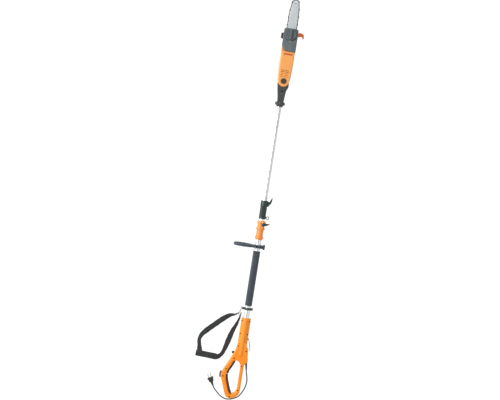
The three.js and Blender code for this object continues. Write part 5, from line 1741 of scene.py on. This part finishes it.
slider_frame = outline_solid(
    "slider_frame",
    [softened([(-12, -17), (12, -17), (12, 17), (-12, 17)], 3, 4, True),
     softened([(-9, -14), (-9, 14), (-2, 14), (-2, -14)], 1.2, 3, True),
     softened([(2, -14), (2, 14), (9, 14), (9, -14)], 1.2, 3, True)], 0, 4, 0.8, 3)
SLIDER_YAW = -0.72
slider_frame.data.transform(
    Matrix.Translation((-0.186, (BAND_Y - 144) * MM, (strap_low + STRAP_THICK / 2 + 0.3) * MM))
    @ Matrix.Rotation(SLIDER_YAW, 4, "Z"))
settle(slider_frame, band_black, "rear_pole", "black", "strap_slider")

# ---------------------------------------------------------------------------
# Rear handle. Two orange shells split on the pole's axis: a sleeve over the
# outer tube, a round-ended ridge on it and a D round the hand opening.
# ---------------------------------------------------------------------------
handle_orange = moulded("handle_orange", (0.98, 0.275, 0.0), (0.98, 0.42, 0.1), 1200, 0.15, (0.4, 0.54))
HANDLE_OUTLINE = [
    (-24, -120), (-24, -132), (-27, -159), (-38, -187), (-50, -217), (-62, -242), (-75, -267),
    (-81, -282), (-83, -295), (-81, -310), (-68, -342), (-57, -372), (-48, -394), (-38, -405),
    (-20, -408), (0, -400), (15, -390), (23, -373), (24, -352), (24, -232), (38, -220), (40, -210),
    (36, -192), (33, -152), (24, -146), (24, -120)
]
SEAT_LINE = [
    (-29, -219), (-39, -243), (-52, -269), (-57, -292), (-54, -314), (-44, -345), (-34, -371), (-22, -388)
]
OPENING_RIGHT = [(-14, -384), (-2, -377), (5, -367), (7, -347), (7, -237), (0, -225), (-12, -215)]
TRIGGER_PIVOT = (-31, -211)


def from_mouth(points):
    return [(x, y + MOUTH) for x, y in points]


def smooth_loop(points, radius):
    return softened(from_mouth(points), radius, 4, True)


handle_loop = smooth_loop(HANDLE_OUTLINE, 12)
opening_loop = smooth_loop(SEAT_LINE + OPENING_RIGHT, 4.5)
handle_body = outline_solid("rear_handle", [handle_loop, opening_loop[::-1]], AXIS - 22, AXIS + 22, 6.5, 5)
sleeve = turned(
    "sleeve",
    [
        (0, MOUTH - 170), (20, MOUTH - 168), (24, MOUTH - 160), (24, MOUTH - 5), (23.2, MOUTH - 2),
        (21, MOUTH), (0, MOUTH)
    ],
    sides=96
)
ridge_profile = [
    (0, MOUTH - 199), (5, MOUTH - 198.4), (9.4, MOUTH - 195.4), (12, MOUTH - 191), (13, MOUTH - 185),
    (13, MOUTH - 9), (11.6, MOUTH - 7.2), (0, MOUTH - 7)
]
ridge_top = turned("ridge", ridge_profile, (0, AXIS + 12.8), sides=64)
worked(handle_body, "UNION", sleeve, ridge_top)
fused(handle_body, 1.4, 4)
pole_room = rod("pole_room", 16, MOUTH - 94, MOUTH + 6, sides=72)
lead_room = rod("lead_room", 8, MOUTH - 160, MOUTH - 90, sides=32)
trigger_room = outline_solid(
    "trigger_room",
    [from_mouth([(-45, -203), (-73, -278), (-73, -290), (-45, -290), (-20, -217), (-23, -203)])],
    AXIS - 7.3, AXIS + 7.3, 0
)
lock_room = rod("lock_room", 6.3, -60, -12, (MOUTH - 179, AXIS), "x", 32)
pin_room = rod(
    "pin_room", 2.3, AXIS - 16, AXIS + 16, (TRIGGER_PIVOT[0], MOUTH + TRIGGER_PIVOT[1]), "z", 24
)
gland_room = rod("gland_room", 4.7, -12, 34, (0, 0), sides=32)
gland_room.data.transform(Matrix.Translation(gland_start * MM) @ gland_turn)
switch_room = block("switch_room", (-12.3, MOUTH - 194.3, AXIS - 10.3), (14.3, MOUTH - 165.7, AXIS + 10.3))
worked(
    handle_body, "DIFFERENCE", pole_room, lead_room, trigger_room, lock_room, pin_room, gland_room,
    switch_room
)
SCREW_SPOTS = [
    (19, -15), (-19, -15), (-18, -80), (18, -80), (-19, -142), (25, -163), (-30, -205), (12, -240),
    (-71, -300), (12, -362), (-24, -398), (-62, -262)
]
for x, y in SCREW_SPOTS:
    seat = rod("seat", 3.5, AXIS + 9, AXIS + 40, (x, MOUTH + y), "z", 32)
    worked(handle_body, "DIFFERENCE", seat)
above = block("above", (-120, MOUTH - 440, AXIS + 0.15), (80, MOUTH + 20, AXIS + 60))
below = block("below", (-120, MOUTH - 440, AXIS - 60), (80, MOUTH + 20, AXIS - 0.15))
handle_lower = in_scene("rear_handle_lower", handle_body.data.copy())
worked(handle_lower, "INTERSECT", below)
worked(handle_body, "INTERSECT", above)
handle_body.name = "rear_handle_upper"
settle(handle_body, handle_orange, "rear_pole", "orange", "handle_shell_upper")
settle(handle_lower, handle_orange, "rear_pole", "orange", "handle_shell_lower")


def pieces_on_points():
    """Copies of a piece at each point of a mesh."""
    tree, given, result = geometry_group(
        "pieces on points",
        {"Spots": "NodeSocketGeometry", "Piece": "NodeSocketObject", "Material": "NodeSocketMaterial"},
    )
    piece = tree.nodes.new("GeometryNodeObjectInfo")
    place = tree.nodes.new("GeometryNodeInstanceOnPoints")
    real = tree.nodes.new("GeometryNodeRealizeInstances")
    paint = tree.nodes.new("GeometryNodeSetMaterial")
    tree.links.new(given.outputs["Spots"], place.inputs["Points"])
    tree.links.new(given.outputs["Piece"], piece.inputs["Object"])
    tree.links.new(piece.outputs["Geometry"], place.inputs["Instance"])
    tree.links.new(place.outputs["Instances"], real.inputs["Geometry"])
    tree.links.new(real.outputs["Geometry"], paint.inputs["Geometry"])
    tree.links.new(given.outputs["Material"], paint.inputs["Material"])
    tree.links.new(paint.outputs["Geometry"], result.inputs["Pieces"])
    return tree


ON_POINTS = pieces_on_points()
screw_black = metal("black_oxide_screw", (0.16, 0.1, 0.075), (0.35, 0.55), (1, 1, 1), 700)


def screw_head(radius, height, facing=1):
    """A pan head with a cross recess, its seat at zero, facing up or down."""
    head = turned(
        "screw",
        [
            (0, -0.6), (radius, -0.6), (radius, height * 0.4), (radius * 0.86, height * 0.8),
            (radius * 0.5, height), (0, height)
        ],
        (0, 0), "z", 24
    )
    for wide, deep in ((radius * 0.95, radius * 0.26), (radius * 0.26, radius * 0.95)):
        worked(
            head, "DIFFERENCE",
            block("cross", (-wide / 2, -deep / 2, height * 0.35), (wide / 2, deep / 2, height + 1))
        )
    if facing < 0:
        head.data.transform(Matrix.Rotation(math.pi, 4, "X"))
    return head


def screws(name, spots, head, body):
    """A screw at each spot, as one piece on a body."""
    placed = mesh_object(name, spots, [])
    grouped(placed, ON_POINTS, Piece=head, Material=screw_black)
    bpy.data.objects.remove(head)
    return settle(placed, screw_black, body, "dark_steel")


screws(
    "handle_screws", [(x, MOUTH + y, AXIS + 10) for x, y in SCREW_SPOTS], screw_head(3.1, 2.4),
    "rear_pole"
)
screws("housing_screws", [(x, y, 2.4) for x, y in HOUSING_SCREWS], screw_head(4.1, 1.6, -1), "head")

# ---------------------------------------------------------------------------
# Trigger, lock-off button, grip and cord hook. All black or dark rubber
# against the orange shells, except the orange cord hook on the right.
# ---------------------------------------------------------------------------
trigger_black = moulded("trigger_black", (0.028, 0.028, 0.03), (0.11, 0.11, 0.115), 1300, 0.25, (0.4, 0.55))
grip_rubber = moulded(
    "grip_rubber", (0.05, 0.047, 0.05), (0.15, 0.145, 0.15), 800, 0.3, (0.6, 0.78), 0.0001
)
trigger_outline = [
    *arc(*TRIGGER_PIVOT, 5, 20, 180, 10), (-28.5, -219), (-38.5, -243), (-51.5, -269), (-56.2, -287.5),
    (-47, -287.5), (-43, -272), (-30, -247), (-20, -223)
]
trigger = outline_solid(
    "power_trigger", [softened(from_mouth(trigger_outline), 1.6, 3, True)], AXIS - 7, AXIS + 7, 1.8, 4
)
worked(
    trigger, "DIFFERENCE",
    rod("pin_room", 2.3, 20, 90, (TRIGGER_PIVOT[0], MOUTH + TRIGGER_PIVOT[1]), "z", 24)
)
for row in range(8):
    t = 0.2 + row * 0.095
    spot = Vector((-20, -223)).lerp(Vector((-43, -272)), t)
    groove = outline_solid(
        "groove",
        [
            [
                (spot.x - 1.2, MOUTH + spot.y - 0.5), (spot.x + 3, MOUTH + spot.y - 2.2),
                (spot.x + 3.4, MOUTH + spot.y - 1.2), (spot.x - 0.8, MOUTH + spot.y + 0.5)
            ]
        ],
        AXIS - 5.4, AXIS + 5.4, 0
    )
    worked(trigger, "DIFFERENCE", groove)
settle(trigger, trigger_black, "trigger", "black", "trigger", crease=34)

grip_outline = [
    (-48, -292), (-56.5, -292), (-53.5, -314), (-43.5, -345), (-33.5, -371), (-23.5, -384), (-17, -381),
    (-25, -367), (-35, -342), (-45, -312)
]
soft_grip = outline_solid(
    "soft_hand_grip", [softened(from_mouth(grip_outline), 1.6, 3, True)], AXIS - 13, AXIS + 13, 2.2, 4
)
for row in range(9):
    t = row / 8
    spot = Vector((-46.4, -302)).lerp(Vector((-26, -364)), t)
    groove = outline_solid(
        "groove",
        [
            [
                (spot.x - 1.6, MOUTH + spot.y - 1.2), (spot.x + 4, MOUTH + spot.y + 0.6),
                (spot.x + 3.6, MOUTH + spot.y + 1.9), (spot.x - 2, MOUTH + spot.y + 0.1)
            ]
        ],
        AXIS - 10, AXIS + 10, 0
    )
    worked(soft_grip, "DIFFERENCE", groove)
settle(soft_grip, grip_rubber, "rear_pole", "rubber", "soft_grip", crease=34)

elbow = outline_solid(
    "elbow_bumper",
    [
        softened(
            from_mouth(
                [
                    (-81.6, -278.6), (-88, -282.4), (-91, -290), (-91, -300), (-88, -308.6),
                    (-82, -313.4), (-83.6, -295)
                ]
            ),
            3, 4, True
        )
    ],
    AXIS - 14, AXIS + 14, 1.2, 3
)
for row in range(5):
    worked(
        elbow, "DIFFERENCE",
        block(
            "line", (-95, MOUTH - 306 + row * 4.6, AXIS - 11), (-89.6, MOUTH - 305 + row * 4.6, AXIS + 11)
        )
    )
settle(elbow, grip_rubber, "rear_pole", "rubber", "elbow_pad", crease=34)

lock_button = turned(
    "lock_off_plunger",
    [(0, -46), (4.2, -46), (5, -45.6), (5.4, -44.6), (6, -44.2), (6, -24.4), (5.6, -24), (0, -24)],
    (MOUTH - 179, AXIS), "x", 48
)
for row in range(3):
    worked(
        lock_button, "DIFFERENCE",
        block(
            "line", (-47, MOUTH - 181.6 + row * 2.2, AXIS - 3),
            (-45.5, MOUTH - 180.8 + row * 2.2, AXIS + 3)
        )
    )
settle(lock_button, trigger_black, "lock_off", "black", "lock_off_button")

hook_tan = moulded("cord_hook_nylon", (0.72, 0.36, 0.11), (0.85, 0.6, 0.35), 1100, 0.15, (0.4, 0.55))
cord_hook_line = catmull([Vector((24 + x, MOUTH + y, AXIS)) for x, y in
                          [(1.8, -104), (6, -110), (10, -124), (14, -140), (16.5, -152), (16, -162)]], 10)
hook_radii = [2.3 - 0.5 * i / (len(cord_hook_line) - 1) for i in range(len(cord_hook_line))]
cord_hook = tube("lead_hook", cord_hook_line, hook_radii, 20)
hook_foot = block("hook_foot", (24.3, MOUTH - 108, AXIS - 4), (27.5, MOUTH - 98, AXIS + 4), 1)
worked(cord_hook, "UNION", hook_foot)
settle(cord_hook, hook_tan, "rear_pole", "orange", "cord_hook")

# ---------------------------------------------------------------------------
# What is inside. The drive, the tank and the switch keep their CAD shapes and
# get plain engineering finishes; the lead in the pole is wound into a coil.
# ---------------------------------------------------------------------------
lacquered = metal("lacquered_can", (0.12, 0.12, 0.125), (0.3, 0.5), (1, 0.1, 1), 800)
for node in (
    "nose_sprocket", "drive_sprocket", "output_shaft", "crown_gear", "motor_pinion", "pivot_bolt",
    "pivot_nut", "trigger_pin"
):
    finished(node, bright_steel)
finished("output_bearing", metal("sintered_bronze", (0.55, 0.37, 0.2), (0.4, 0.6), (1, 1, 1), 700))
finished("motor_can", lacquered)
finished("oil_tank", moulded("tank_nylon", (0.5, 0.5, 0.46), (0.7, 0.7, 0.66), 900, 0.2))
lead_start, lead_end = (corner.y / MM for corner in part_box("internal_lead"))
COIL_PITCH = 10
COIL_STEPS_A_TURN = 12
COIL_R = 5.15
WIRE_R = 1.55
coil_line = []
coil_steps = round((lead_end - lead_start) / COIL_PITCH) * COIL_STEPS_A_TURN
for i in range(coil_steps + 1):
    turn = math.tau * i / COIL_STEPS_A_TURN
    y = lead_start + 1.6 + (lead_end - lead_start - 3.2) * i / coil_steps
    coil_line.append(Vector((COIL_R * math.cos(turn), y, AXIS + COIL_R * math.sin(turn))))
coiled_lead = tube("coiled_inner_lead", coil_line, WIRE_R, 8)
settle(coiled_lead, lead_rubber, "rear_pole", "black", "internal_lead")
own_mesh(coiled_lead)
finished("power_switch", cap_black)
